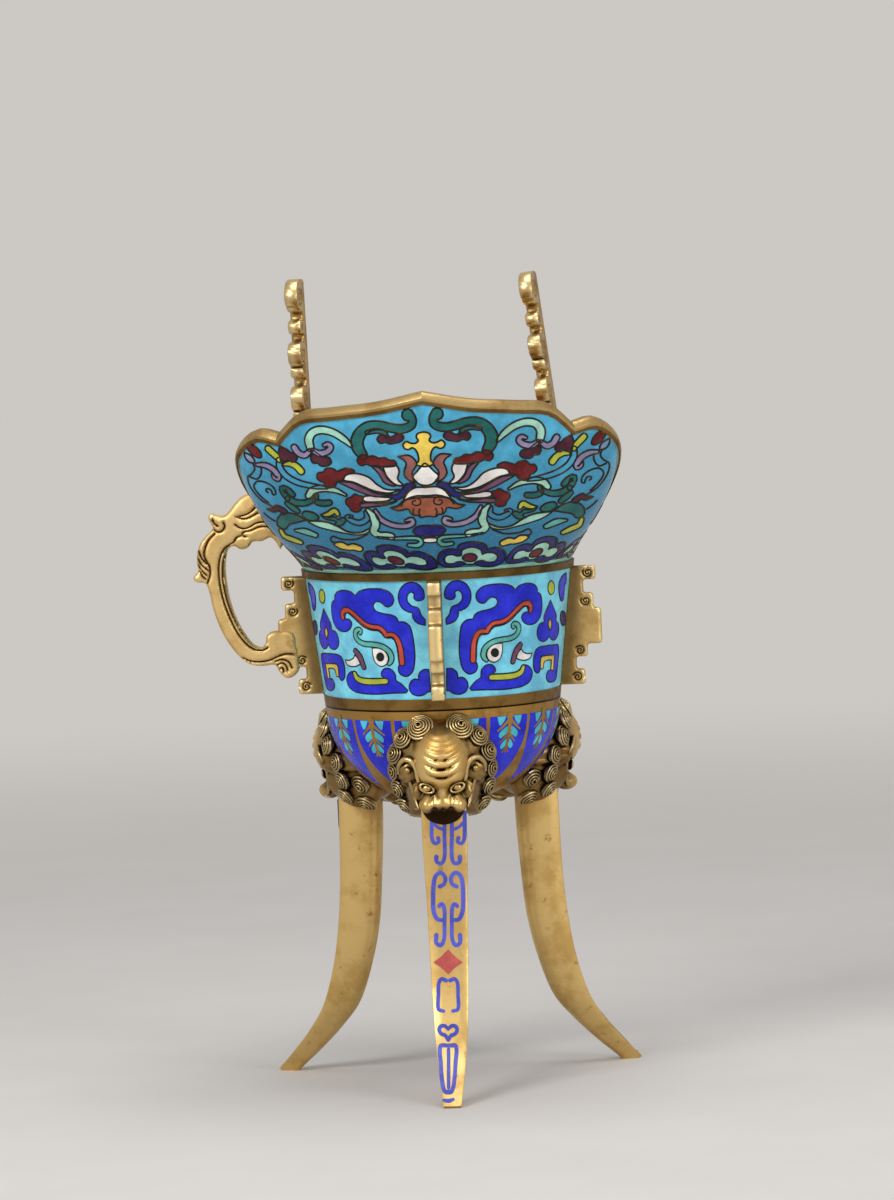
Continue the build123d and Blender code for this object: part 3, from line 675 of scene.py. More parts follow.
# %% [markdown]
# A cloison drawing is made of two kinds of cell: closed shapes, and strokes with a width. Both are drawn
# with few points on a flat sheet and smoothed, a point given twice being a sharp corner. Blender's curve
# objects could smooth them as well, but plain lists are easier to fill and to lay on a curved wall.

# %% Smooth lines
STEP = 0.4
SAME_POINT = 1e-6


def curve_through(points, closed=False, step=STEP):
    """Smooth line through points of any dimension; a point given twice is a corner."""
    spots = []
    corners = []
    for point in points:
        here = Vector(point)
        if spots and (here - spots[-1]).length < SAME_POINT:
            corners[-1] = True
        else:
            spots.append(here)
            corners.append(False)
    count = len(spots)

    def lean(number, leaving):
        before = spots[number - 1] if closed or number else None
        after = spots[(number + 1) % count] if closed or number < count - 1 else None
        if corners[number] or before is None or after is None:
            return (after - spots[number] if leaving else spots[number] - before).normalized()
        return (after - before) / ((after - spots[number]).length + (spots[number] - before).length)

    line = []
    for number in range(count if closed else count - 1):
        following = (number + 1) % count
        start, end = spots[number], spots[following]
        gap = (end - start).length
        leave, arrive = lean(number, True) * gap, lean(following, False) * gap
        steps = max(2, ceil(gap / step))
        for k in range(steps):
            t = k / steps
            ends = start * ((1 + 2 * t) * (1 - t) ** 2) + end * (t**2 * (3 - 2 * t))
            line.append(ends + leave * (t * (1 - t) ** 2) + arrive * (t**2 * (t - 1)))
    return line if closed else line + [spots[-1]]


def across(line, number, closed):
    """Unit normal of a flat line at one of its points."""
    last = len(line) - 1
    before = line[number - 1] if closed or number else line[0]
    after = line[(number + 1) % len(line)] if closed or number < last else line[last]
    run = after - before
    return Vector((-run.y, run.x)).normalized() if run.length else Vector((0, 1))


print("points on a small oval:", len(curve_through([(1, 0), (0, 1), (-1, 0), (0, -1)], closed=True)))

# %% [markdown]
# A shape's inside is filled with small triangles on a fine grid, so that it can follow a curved wall. One
# large face would cut through the wall's round. Distances to lines are looked up in a tree of points.

# %% Filled outlines
FILL_GRID = 1.1
EDGE_CLEAR = 0.14
GRID_CLEAR = 0.45


def inside(outline, spot):
    """True if a flat point lies in a closed outline."""
    within = False
    for a, b in zip(outline, outline[1:] + outline[:1]):
        if (a.y > spot.y) != (b.y > spot.y) and spot.x < a.x + (spot.y - a.y) * (b.x - a.x) / (b.y - a.y):
            within = not within
    return within


class Trace:
    """Flat lines, to measure how far a point lies from them."""

    def __init__(self, lines):
        spots = [spot for line in lines for spot in line]
        self.tree = KDTree(len(spots))
        for number, spot in enumerate(spots):
            self.tree.insert((spot.x, spot.y, 0), number)
        self.tree.balance()

    def distance(self, spot):
        return self.tree.find((spot.x, spot.y, 0))[2]


def filled(outline, grid=FILL_GRID, extras=()):
    """Points and triangles that fill a closed flat outline, on a grid that has a column on the middle."""
    columns = range(ceil(min(p.x for p in outline) / grid), ceil(max(p.x for p in outline) / grid))
    rows = range(ceil(min(p.y for p in outline) / grid), ceil(max(p.y for p in outline) / grid))
    edge = Trace([outline])
    spots = [spot for spot in extras if edge.distance(spot) > EDGE_CLEAR and inside(outline, spot)]
    taken = Trace([outline, spots])
    for i in columns:
        for j in rows:
            spot = Vector((i * grid, j * grid))
            if taken.distance(spot) > grid * GRID_CLEAR and inside(outline, spot):
                spots.append(spot)
    loop = list(range(len(outline)))
    points, _, faces, *_ = delaunay_2d_cdt(outline + spots, [], [loop], 1, SAME_POINT)
    return points, faces


square = [Vector(corner) for corner in ((0, 0), (3, 0), (3, 3), (0, 3))]
print("triangles in a small square:", len(filled(square)[1]))

# %% [markdown]
# Both kinds of cell end as faces that a function lays on the vessel, from a flat point and a rise. A low
# ridge of wire runs along every edge. Each cell lies a hair above the one before it, so that a cell drawn
# over another covers it cleanly.

# %% Cells and wires
WIRE = 0.32
WIRE_TOP = 0.45
WIRE_RISE = 0.09
CELL_RISE = 0.03
LAYER_RISE = 0.012
LAYERS = 6
CAP_TURNS = [radians(90 - 36 * k) for k in range(1, 5)]


def stroke_sides(line):
    """Left and right edges of a stroke whose points carry their width, with rounded ends."""
    flat = [Vector((p.x, p.y)) for p in line]
    normals = [across(flat, number, False) for number in range(len(line))]
    left = [p + n * (q.z / 2) for p, n, q in zip(flat, normals, line)]
    right = [p - n * (q.z / 2) for p, n, q in zip(flat, normals, line)]
    caps = []
    for end, way in ((-1, 1), (0, -1)):
        middle, out = flat[end], Vector((normals[end].y, -normals[end].x)) * way
        half = line[end].z / 2
        cap = []
        for turn in CAP_TURNS:
            cap.append(middle + (normals[end] * (sin(turn) * way) + out * cos(turn)) * half)
        caps.append(cap)
    return left, right, caps


class Enamelwork(Stock):
    """Cells and wires laid on a curved wall by a function that places flat points."""

    metal = "wire"
    gauge = WIRE

    def fill(self, points, faces, colour, place, layer):
        rise = CELL_RISE + LAYER_RISE * layer
        self.add([place(p.x, p.y, rise) for p in points], faces, colour)

    def ridge(self, line, place, layer=0, closed=True):
        """Wire along a line, on work that has wires."""
        if not self.metal:
            return
        rows = []
        foot = CELL_RISE * 0.5
        crest = CELL_RISE + LAYER_RISE * layer + WIRE_RISE
        for number, spot in enumerate(line):
            aside = across(line, number, closed) * (self.gauge / 2)
            top = aside * WIRE_TOP
            edges = [(spot + aside, foot), (spot + top, crest), (spot - top, crest), (spot - aside, foot)]
            rows.append([place(p.x, p.y, rise) for p, rise in edges])
        self.grid(rows + rows[:1] if closed else rows, self.metal)

    def shape(self, points, colour, place, layer=0):
        """Closed cell with a wire round it."""
        outline = curve_through(points, closed=True)
        self.fill(*filled(outline), colour, place, layer)
        self.ridge(outline, place, layer)

    def stroke(self, points, colour, place, layer=0):
        """Cell along a line; each point has a width."""
        line = curve_through(points)
        left, right, caps = stroke_sides(line)
        middle = [Vector((p.x, p.y)) for p in line]
        wide = len(line)
        faces = []
        for k in range(wide - 1):
            faces.append([k, k + 1, wide + k + 1, wide + k])
            faces.append([wide + k, wide + k + 1, 2 * wide + k + 1, 2 * wide + k])
        self.fill(right + middle + left, faces, colour, place, layer)
        for ends, cap in (((left[-1], right[-1]), caps[0]), ((right[0], left[0]), caps[1])):
            fan = [ends[0], *cap, ends[1]]
            self.fill(fan, [list(range(len(fan)))[::-1]], colour, place, layer)
        self.ridge(left + caps[0] + right[::-1] + caps[1], place, layer)

    def draw(self, drawing, place):
        """Lay a list of cells: kind, colour and points, each on top of those before it."""
        for layer, (kind, colour, points) in enumerate(drawing):
            if kind == "shape":
                self.shape(points, colour, place, layer % LAYERS)
            elif kind == "stroke":
                self.stroke(points, colour, place, layer % LAYERS)
            else:
                self.ridge(curve_through(points), place, 0, closed=False)


print("wires", WIRE, "mm wide")

# %% [markdown]
# Points are read off enlargements of the photograph. A line of sight from the camera's eye through each one
# is followed until it meets the vessel's wall, and there the point belongs. The wall could be unrolled
# flat and drawn on, but then the photograph would have to be unrolled as well.

# %% Points read off the photograph
NEAR_STEP = 8
NEAR_STOPS = 10


def oval(x, y, half_wide, half_tall, tilt=0.0):
    """Points of a tilted oval."""
    lean = radians(tilt)
    spots = []
    for k in range(8):
        turn = k * pi / 4
        a, b = half_wide * cos(turn), half_tall * sin(turn)
        spots.append((x + a * cos(lean) - b * sin(lean), y + a * sin(lean) + b * cos(lean)))
    return spots


class Wall:
    """A wall of the vessel as a fine mesh, for lines of sight."""

    def __init__(self, stock):
        self.tree = BVHTree.FromPolygons(stock.points, stock.faces)

    def hit(self, start, way, reach=STAND_OFF):
        """Where a line meets the wall, or the wall's nearest point to a line that just misses it."""
        spot, normal, _, _ = self.tree.ray_cast(start, way)
        if spot is None:
            stops = [start + way * (reach - NEAR_STEP * back) for back in range(NEAR_STOPS)]
            found = [self.tree.find_nearest(stop) for stop in stops]
            spot, normal, _, _ = min(found, key=lambda near: near[3])
        return spot, normal


def read_off(drawing, enlargement, wall, flat):
    """Turn a drawing's points from an enlarged part of the photograph into flat points on a wall."""
    left, top, zoom = enlargement
    moved = []
    for kind, colour, points in drawing:
        spots = []
        for x, y, *width in points:
            spot, _ = wall.hit(eye, sight(left + x / zoom, top + y / zoom))
            spots.append((*flat(spot), *width))
        moved.append((kind, colour, spots))
    return moved


print("lines of sight start at", [round(value) for value in eye])

# %% [markdown]
# The band carries the old bronze pattern of a beast's face without a lower jaw, split by the flange at
# the tail: a heavy curling brow, an eye, a fang and a jaw, with leaves and a square fret beside it. One
# quarter is drawn, from the right front, and laid on all four panels, turned or mirrored.

# %% The band's beast face
BAND_ENLARGED = (440, 560, 9.8)
BAND_FACE = [
    ("shape", "cobalt", [
        (352, 320), (370, 270), (430, 225), (540, 205), (650, 208), (710, 230), (738, 262), (738, 262),
        (775, 222), (850, 198), (925, 210), (952, 245), (957, 285), (957, 285), (988, 310), (1000, 400),
        (990, 500), (950, 575), (880, 602), (825, 580), (800, 530), (818, 490), (866, 476), (866, 476),
        (855, 430), (828, 416), (780, 452), (700, 532), (620, 590), (530, 610), (490, 650), (476, 690),
        (476, 690), (400, 690), (372, 730), (355, 800), (350, 962), (350, 962), (366, 1000), (358, 1050),
        (320, 1080), (280, 1085), (225, 1040), (200, 960), (188, 850), (195, 700), (215, 600), (265, 555),
        (325, 548), (325, 548), (340, 505), (390, 475), (470, 455), (540, 425), (565, 380), (545, 340),
        (500, 335), (465, 360), (440, 386), (405, 392), (365, 365),
    ]),
    ("stroke", "coral", [
        (886, 468, 0.98), (892, 425, 1.08), (862, 392, 1.18), (815, 404, 1.23), (740, 474, 1.28),
        (670, 545, 1.28), (600, 580, 1.28), (530, 594, 1.28), (482, 632, 1.28), (458, 668, 1.18),
        (400, 674, 1.28), (357, 712, 1.28), (332, 800, 1.33), (325, 950, 1.38),
    ]),
    ("stroke", "jade", [
        (722, 628, 0.83), (712, 604, 0.88), (735, 590, 0.98), (768, 612, 1.08), (772, 655, 1.13),
        (740, 708, 1.13), (680, 738, 1.13), (600, 750, 1.13), (520, 772, 1.18), (450, 822, 1.23),
        (425, 882, 1.23), (432, 925, 1.08), (456, 952, 0.78),
    ]),
    ("shape", "white", [
        (612, 785), (612, 785), (610, 860), (590, 930), (540, 968), (485, 955), (458, 905), (466, 855),
        (500, 812), (552, 788),
    ]),
    ("shape", "black", oval(537, 876, 37, 40)),
    ("stroke", "violet", [(786, 800, 1.18), (745, 862, 1.38), (714, 962, 1.18)]),
    ("shape", "white", [
        (742, 918), (770, 872), (798, 838), (798, 838), (815, 868), (855, 886), (903, 880), (903, 880),
        (882, 930), (835, 950), (780, 945),
    ]),
    ("shape", "lime", oval(1090, 240, 32, 68)),
    ("shape", "cobalt", [
        (1083, 362), (1083, 362), (1110, 430), (1138, 510), (1136, 562), (1136, 562), (1160, 605),
        (1160, 680), (1132, 745), (1095, 748), (1070, 712), (1070, 712), (1050, 748), (1008, 768),
        (965, 740), (952, 670), (975, 600), (1020, 576), (1020, 576), (1022, 510), (1055, 430),
    ]),
    ("shape", "yellow", [(1076, 545), (1092, 590), (1080, 662), (1080, 662), (1060, 600)]),
    ("shape", "cobalt", [
        (955, 835), (1005, 815), (1148, 795), (1148, 795), (1160, 810), (1160, 900), (1136, 1125),
        (1110, 1160), (1062, 1160), (1042, 1120), (1055, 1062), (1108, 1045), (1108, 1045), (1118, 900),
        (1118, 900), (1010, 906), (985, 932), (980, 1040), (960, 1076), (925, 1050), (915, 960), (930, 870),
    ]),
    ("shape", "yellow", [
        (982, 1036), (982, 1036), (985, 935), (1006, 912), (1118, 900), (1118, 900), (1110, 1045),
        (1110, 1045), (1084, 1050), (1084, 1050), (1090, 946), (1090, 946), (1032, 955), (1014, 982),
        (1010, 1034), (1010, 1034),
    ]),
    ("shape", "cobalt", [
        (290, 1225), (290, 1225), (350, 1156), (398, 1118), (405, 1050), (450, 1000), (505, 995),
        (540, 1028), (542, 1062), (505, 1088), (505, 1088), (620, 1082), (740, 1068), (785, 1035),
        (802, 1003), (850, 1000), (890, 1030), (905, 1080), (885, 1150), (830, 1195), (740, 1222),
        (600, 1238), (440, 1240), (310, 1246), (310, 1246),
    ]),
    ("stroke", "lime", [
        (816, 1018, 1.08), (800, 1062, 1.28), (748, 1094, 1.38), (650, 1112, 1.38), (502, 1118, 1.28),
    ]),
    ("shape", "cobalt", [
        (45, 300), (58, 240), (110, 185), (180, 172), (250, 200), (295, 270), (300, 350), (270, 420),
        (215, 458), (178, 468), (178, 468), (175, 520), (140, 570), (62, 602), (62, 602), (58, 545),
        (58, 545), (92, 500), (104, 450), (104, 450), (120, 425), (180, 400), (218, 350), (210, 290),
        (172, 264), (142, 290), (150, 320), (130, 350), (90, 355), (55, 340),
    ]),
    ("shape", "cobalt", [
        (66, 1034), (66, 1034), (118, 1034), (158, 1062), (174, 1102), (168, 1132), (168, 1132),
        (215, 1118), (258, 1148), (274, 1204), (250, 1258), (194, 1284), (132, 1276), (98, 1254),
        (66, 1252), (66, 1252),
    ]),
    ("shape", "cobalt", [
        (1236, 92), (1236, 92), (1196, 130), (1166, 200), (1168, 300), (1186, 368), (1206, 356),
        (1214, 280), (1222, 220), (1236, 180), (1236, 180),
    ]),
    ("shape", "navy", [
        (1186, 480), (1206, 470), (1228, 500), (1226, 590), (1206, 610), (1184, 580), (1178, 520),
    ]),
    ("shape", "crimson", [(1196, 478), (1214, 474), (1222, 505), (1206, 520)]),
]
print("cells in a quarter of the band:", len(BAND_FACE))

# %% [markdown]
# The quarter is laid on the band, which is a cone, by the way round it and the height. Each panel is a thin
# sheet between two flanges, with the cells on it. One sheet all round would run under the flanges.

# %% Band panels
CONE_STEPS = 44
CONE_ROWS = 8
SHEET_PAST = 4.0
MIDDLE_RADIUS = band_radius((PANEL_Z + PANEL_TOP_Z) / 2)
FLANGE_HALF = (high("flange_tail", 0) - low("flange_tail", 0)) / 2


def band_point(angle, z, rise=0.0):
    return turned(angle, band_radius(z) + rise, z - rise * BAND_SLOPE)


def cone(start, end, rise=0.0, past=0.0):
    """Rows of points over a stretch of the band, from its foot to its top, or past both."""
    angles = [start + (end - start) * k / CONE_STEPS for k in range(CONE_STEPS + 1)]
    tall = PANEL_TOP_Z - PANEL_Z + 2 * past
    heights = [PANEL_Z - past + tall * k / CONE_ROWS for k in range(CONE_ROWS + 1)]
    return [[band_point(angle, z, rise) for angle in angles] for z in heights]


band_sheet = Stock()
band_sheet.grid(cone(-90, 90, past=SHEET_PAST), "sky")
BAND_SETTLE = 0.7
BAND_MARGIN = 0.3


def band_flat(spot):
    """Way round the band and height, settled a little to sit centred in the panel."""
    height = min(max(spot.z - BAND_SETTLE, PANEL_Z + BAND_MARGIN), PANEL_TOP_Z - BAND_MARGIN)
    return MIDDLE_RADIUS * atan2(spot.x, -spot.y), height


band_drawing = read_off(BAND_FACE, BAND_ENLARGED, Wall(band_sheet), band_flat)

PANELS = {"tail_right": (0, 1), "tail_left": (0, -1), "spout_right": (180, -1), "spout_left": (180, 1)}
flange_gap = FLANGE_HALF / MIDDLE_RADIUS * 180 / pi
for name, (start, way) in PANELS.items():
    panel = Enamelwork()
    ends = (start + way * flange_gap, start + way * (90 - flange_gap))
    front = cone(*ends)
    back = cone(*ends, -SKIN_DEPTH)
    panel.grid(front + back[::-1] + front[:1], "sky", flip=way < 0)

    def on_panel(along, z, rise, start=start, way=way):
        return band_point(start + way * along / MIDDLE_RADIUS * 180 / pi, z, rise)

    panel.draw(band_drawing, on_panel)
    panel.piece("band_enamel_" + name, "turquoise_enamel", ["band_panel_" + name])

# %% [markdown]
# Under the tail, the flare carries a lotus on scrolling stems: white petals with crimson tips, a yellow
# finial, and leaves in teal, mint, lilac and lime. The right half is drawn and mirrored over the keel. It
# is laid on along the vessel's length, so it sits on the flare as the photograph shows it.

# %% The lotus under the tail
LOTUS_ENLARGED = (428, 385, 7.84)
LOTUS_HALF = [
    ("stroke", "teal", [
        (70, 226, 2.6), (38, 262, 1.6), (52, 308, 1.7), (130, 330, 1.8), (220, 314, 1.8), (300, 290, 1.8),
        (390, 292, 2.1), (456, 332, 2.4), (494, 392, 2.6), (494, 450, 2.5), (462, 512, 2.0),
    ]),
    ("stroke", "teal", [(410, 338, 0.8), (330, 330, 1.0), (270, 352, 0.9), (252, 384, 0.6)]),
    ("shape", "maroon", [
        (122, 402), (134, 374), (160, 362), (186, 374), (222, 388), (258, 372), (304, 366), (334, 396),
        (312, 430), (270, 424), (240, 440), (190, 436), (150, 428),
    ]),
    ("stroke", "mint", [
        (546, 436, 0.6), (596, 380, 1.3), (680, 318, 1.5), (772, 290, 1.6), (846, 304, 1.7),
        (884, 356, 1.8), (878, 424, 1.6),
    ]),
    ("stroke", "lilac", [
        (862, 444, 1.0), (808, 472, 1.3), (744, 462, 1.3), (712, 430, 1.2), (734, 404, 1.0),
        (766, 412, 0.7),
    ]),
    ("stroke", "lilac", [(884, 446, 1.0), (930, 476, 1.3), (978, 456, 1.3), (1008, 410, 1.4)]),
    ("shape", "maroon", [
        (862, 440), (862, 440), (870, 476), (886, 504), (868, 544), (834, 546), (812, 568), (774, 574),
        (738, 566), (720, 544), (738, 510), (768, 506), (800, 490), (832, 464),
    ]),
    ("shape", "maroon", [
        (1122, 390), (1122, 390), (1138, 430), (1132, 482), (1102, 516), (1066, 502), (1036, 524),
        (1000, 508), (996, 478), (1018, 452), (1044, 446), (1076, 416),
    ]),
    ("stroke", "turquoise", [
        (1146, 496, 1.0), (1142, 562, 1.3), (1092, 634, 1.3), (1000, 690, 1.2), (880, 726, 1.0),
        (780, 744, 0.5),
    ]),
    ("stroke", "lime", [(1222, 404, 1.4), (1190, 438, 1.4), (1160, 470, 1.3), (1144, 504, 0.8)]),
    ("stroke", "lime", [(1104, 536, 0.6), (1056, 534, 1.2), (1010, 556, 1.4), (974, 600, 1.5)]),
    ("shape", "crimson", oval(1338, 412, 74, 32, -46)),
    ("shape", "lilac", [
        (1424, 420), (1424, 420), (1420, 462), (1386, 500), (1344, 508), (1344, 508), (1352, 470),
        (1386, 436),
    ]),
    ("stroke", "lilac", [
        (1326, 522, 0.8), (1262, 532, 1.2), (1204, 566, 1.3), (1166, 618, 1.3), (1166, 648, 1.0),
        (1200, 634, 0.8), (1212, 606, 0.4),
    ]),
    ("wire", "wire", [(1300, 532), (1302, 590), (1342, 634), (1402, 612)]),
    ("wire", "wire", [
        (1362, 512), (1352, 552), (1382, 590), (1420, 612), (1410, 690), (1332, 800), (1240, 862),
    ]),
    ("wire", "wire", [
        (1262, 748), (1282, 732), (1272, 716), (1240, 728), (1226, 768), (1204, 760), (1212, 716),
        (1262, 672), (1340, 652), (1378, 690), (1340, 760), (1268, 832),
    ]),
    ("wire", "wire", [(1330, 900), (1290, 940), (1240, 976)]),
    ("shape", "white", [
        (162, 772), (162, 772), (204, 720), (186, 660), (204, 616), (312, 614), (312, 614), (290, 690),
        (240, 752), (200, 772),
    ]),
    ("shape", "violet", [
        (222, 772), (222, 772), (284, 712), (312, 652), (346, 618), (404, 600), (404, 600), (350, 668),
        (316, 736), (256, 770),
    ]),
    ("shape", "crimson", [
        (200, 610), (214, 576), (258, 566), (290, 544), (338, 546), (380, 524), (420, 526), (452, 506),
        (496, 524), (510, 560), (482, 592), (440, 584), (408, 600), (368, 596), (330, 612), (250, 618),
    ]),
    ("shape", "white", [
        (188, 802), (188, 802), (300, 796), (376, 748), (430, 692), (510, 656), (590, 650), (628, 668),
        (636, 694), (560, 716), (480, 758), (392, 800), (280, 822),
    ]),
    ("shape", "violet", [
        (250, 838), (250, 838), (390, 818), (486, 766), (580, 718), (692, 702), (692, 702), (604, 752),
        (500, 806), (390, 844),
    ]),
    ("shape", "crimson", [
        (542, 634), (596, 604), (640, 612), (684, 622), (712, 600), (768, 594), (798, 622), (836, 624),
        (852, 660), (828, 690), (800, 700), (792, 736), (748, 746), (708, 728), (690, 700), (642, 690),
        (618, 660),
    ]),
    ("shape", "white", [
        (262, 862), (262, 862), (350, 850), (436, 834), (494, 838), (502, 862), (470, 880), (380, 886),
        (300, 882),
    ]),
    ("shape", "violet", [
        (230, 892), (230, 892), (340, 902), (450, 886), (532, 894), (530, 918), (420, 920), (310, 914),
    ]),
    ("shape", "crimson", [
        (498, 838), (534, 826), (560, 812), (596, 834), (636, 846), (640, 884), (618, 908), (606, 938),
        (562, 952), (526, 934), (534, 896), (510, 872),
    ]),
    ("shape", "rose", [
        (40, 612), (62, 566), (104, 540), (184, 544), (184, 544), (140, 574), (122, 606), (140, 650),
        (146, 694), (116, 736), (52, 760), (52, 760), (82, 718), (84, 676), (56, 640),
    ]),
    ("stroke", "mint", [
        (474, 946, 0.9), (434, 1006, 1.7), (428, 1064, 1.8), (452, 1112, 1.6), (410, 1146, 1.4),
        (352, 1148, 1.2), (316, 1164, 1.5),
    ]),
    ("shape", "mint", [
        (470, 1084), (470, 1084), (560, 1114), (660, 1100), (740, 1050), (830, 1010), (978, 990),
        (978, 990), (900, 1040), (800, 1076), (690, 1108), (580, 1130), (500, 1118),
    ]),
    ("stroke", "lilac", [
        (414, 952, 0.7), (376, 1026, 1.2), (292, 1076, 1.2), (190, 1092, 1.2), (132, 1074, 1.2),
        (134, 1044, 1.0), (182, 1050, 0.6),
    ]),
    ("stroke", "jade", [
        (190, 1242, 0.8), (118, 1248, 1.1), (84, 1222, 1.0), (110, 1196, 0.9), (200, 1186, 0.8),
        (310, 1180, 0.6), (430, 1158, 0.3),
    ]),
    ("stroke", "turquoise", [
        (494, 958, 0.7), (488, 1008, 1.2), (552, 1038, 1.2), (620, 1014, 1.1), (648, 982, 0.9),
        (610, 984, 0.5),
    ]),
    ("shape", "teal", [
        (660, 1004), (690, 986), (720, 1000), (752, 976), (800, 978), (862, 950), (862, 950), (830, 986),
        (742, 1014), (764, 1042), (764, 1042), (700, 1046),
    ]),
    ("stroke", "lime", [(720, 958, 0.9), (742, 928, 1.2), (790, 948, 1.1), (848, 958, 0.5)]),
    ("shape", "teal", [(878, 972), (916, 932), (990, 916), (1010, 946), (962, 984), (910, 992)]),
    ("stroke", "mint", [
        (636, 814, 0.5), (716, 770, 1.1), (820, 748, 1.4), (902, 760, 1.6), (938, 796, 1.4),
    ]),
    ("stroke", "teal", [(872, 798, 0.8), (886, 842, 1.1), (828, 864, 1.3), (776, 862, 1.2)]),
    ("stroke", "teal", [(904, 830, 1.1), (980, 850, 1.3), (1060, 836, 1.4), (1106, 806, 1.3)]),
    ("stroke", "teal", [
        (1110, 806, 1.0), (1130, 764, 1.4), (1142, 724, 1.4), (1100, 742, 1.3), (1064, 778, 1.1),
    ]),
    ("stroke", "teal", [(1040, 910, 1.0), (1084, 874, 1.3), (1122, 842, 0.9)]),
    ("shape", "maroon", [
        (1128, 908), (1168, 870), (1220, 850), (1232, 868), (1296, 874), (1296, 874), (1240, 902),
        (1200, 894), (1160, 926),
    ]),
    ("shape", "teal", [
        (985, 985), (985, 985), (1060, 936), (1150, 916), (1214, 950), (1226, 1010), (1170, 1044),
        (1130, 1010), (1080, 1000),
    ]),
    ("stroke", "lime", [(1206, 1052, 1.0), (1186, 1096, 1.2), (1120, 1128, 1.3), (1058, 1156, 1.0)]),
    ("stroke", "jade", [(1086, 1058, 0.5), (1010, 1072, 1.4), (926, 1108, 1.1)]),
    ("stroke", "yellow", [
        (776, 1190, 0.8), (730, 1204, 1.6), (680, 1224, 1.2), (636, 1222, 1.5), (586, 1240, 1.3),
    ]),
    ("wire", "wire", [(500, 1130), (600, 1164), (720, 1156), (790, 1128), (812, 1156), (776, 1190)]),
    ("shape", "navy", [
        (64, 778), (64, 778), (102, 758), (150, 768), (184, 804), (220, 836), (274, 846), (250, 878),
        (198, 872), (164, 842), (138, 812), (100, 796),
    ]),
]
print("cells in half a lotus:", len(LOTUS_HALF))

# %% [markdown]
# The flower's finial, its inner petals and its calyx lie on the keel, so each is one whole cell there. Only
# its right half is drawn, starting and ending on the keel. Two halves with a wire between them would show a
# seam that the real flower doesn't have. A coil of bare wire on the calyx comes last.

# %% The middle of the lotus
LOTUS_MIDDLE = [
    ("shape", "white", [
        (0, 612), (16, 644), (44, 672), (78, 702), (84, 730), (60, 752), (40, 772), (10, 786),
    ]),
    ("shape", "yellow", [
        (-25, 368), (10, 380), (20, 404), (8, 432), (34, 452), (76, 446), (104, 432), (132, 456),
        (122, 486), (92, 496), (62, 484), (34, 506), (20, 550), (22, 590), (44, 618), (-4, 638),
    ]),
    ("shape", "white", [
        (16, 800), (60, 796), (102, 808), (136, 830), (162, 862), (178, 884), (120, 880), (20, 878),
    ]),
    ("shape", "copper_red", [
        (20, 866), (72, 862), (130, 874), (180, 892), (230, 930), (292, 940), (292, 940), (230, 966),
        (150, 960), (136, 990), (112, 1012), (84, 1012), (60, 1032), (26, 1026),
    ]),
    ("shape", "navy", [(36, 1100), (98, 1104), (138, 1138), (98, 1174), (42, 1180)]),
    ("shape", "white", [(40, 1194), (68, 1202), (70, 1224), (44, 1232)]),
]
CALYX_COIL = [
    ("wire", "wire", [
        (206, 934), (176, 898), (128, 876), (82, 876), (48, 894), (48, 924), (82, 938), (112, 922),
        (106, 900), (80, 900),
    ]),
    ("wire", "wire", [(62, 1024), (70, 992), (58, 962)]),
    ("wire", "wire", [(112, 1008), (116, 980), (104, 956)]),
]
print("cells on the keel:", len(LOTUS_MIDDLE))

# %% [markdown]
# The drawing is read off onto the flare, kept as points of an upright sheet in front of the tail, and laid
# on from there, so that the mirrored half lands where it should. A shape on the keel is drawn as its right
# half and completed.

# %% Laying the lotus
MOUTH_WIRE = 0.46
mouth_sheet = Stock()
mouth_sheet.grid(outside + [[wall_point(angle, 1.0) for angle in ALL_ROUND]], "turquoise", closed=True)
mouth_wall = Wall(mouth_sheet)
FRONT = 300.0


def on_tail(x, z, rise):
    """Point on the flare straight behind a point of an upright sheet in front of the tail."""
    spot, normal = mouth_wall.hit(Vector((x, -FRONT, z)), Vector((0, 1, 0)), FRONT)
    return spot + normal * rise


def mirrored(drawing):
    return [(kind, colour, [(-x, *rest) for x, *rest in points]) for kind, colour, points in drawing]


def over_keel(drawing):
    """Whole shapes from right halves that start and end on the keel."""
    whole = []
    for kind, colour, points in drawing:
        half = [(0.0, points[0][1])]
        half += [(max(x, 0.0), y) for x, y in points[1:-1]]
        half += [(0.0, points[-1][1])]
        whole.append((kind, colour, half + [(-x, y) for x, y in half[-2:0:-1]]))
    return whole


def upright(spot):
    return spot.x, spot.z


lotus_half = read_off(LOTUS_HALF, LOTUS_ENLARGED, mouth_wall, upright)
lotus_middle = over_keel(read_off(LOTUS_MIDDLE, LOTUS_ENLARGED, mouth_wall, upright))

mouth_work = Enamelwork()
mouth_work.gauge = MOUTH_WIRE
mouth_work.draw(lotus_half, on_tail)
mouth_work.draw(mirrored(lotus_half), on_tail)
mouth_work.draw(lotus_middle, on_tail)
calyx_coil = read_off(CALYX_COIL, LOTUS_ENLARGED, mouth_wall, upright)
mouth_work.draw(calyx_coil + mirrored(calyx_coil), on_tail)
print("points on the mouth so far:", len(mouth_work.points))

# %% [markdown]
# A border of cloud heads runs round the neck, above the gilt ring. One head is read off beside the keel
# and repeated all the way round. It is drawn by angle and height, so it follows the flare in the front
# and stands upright at the waist.

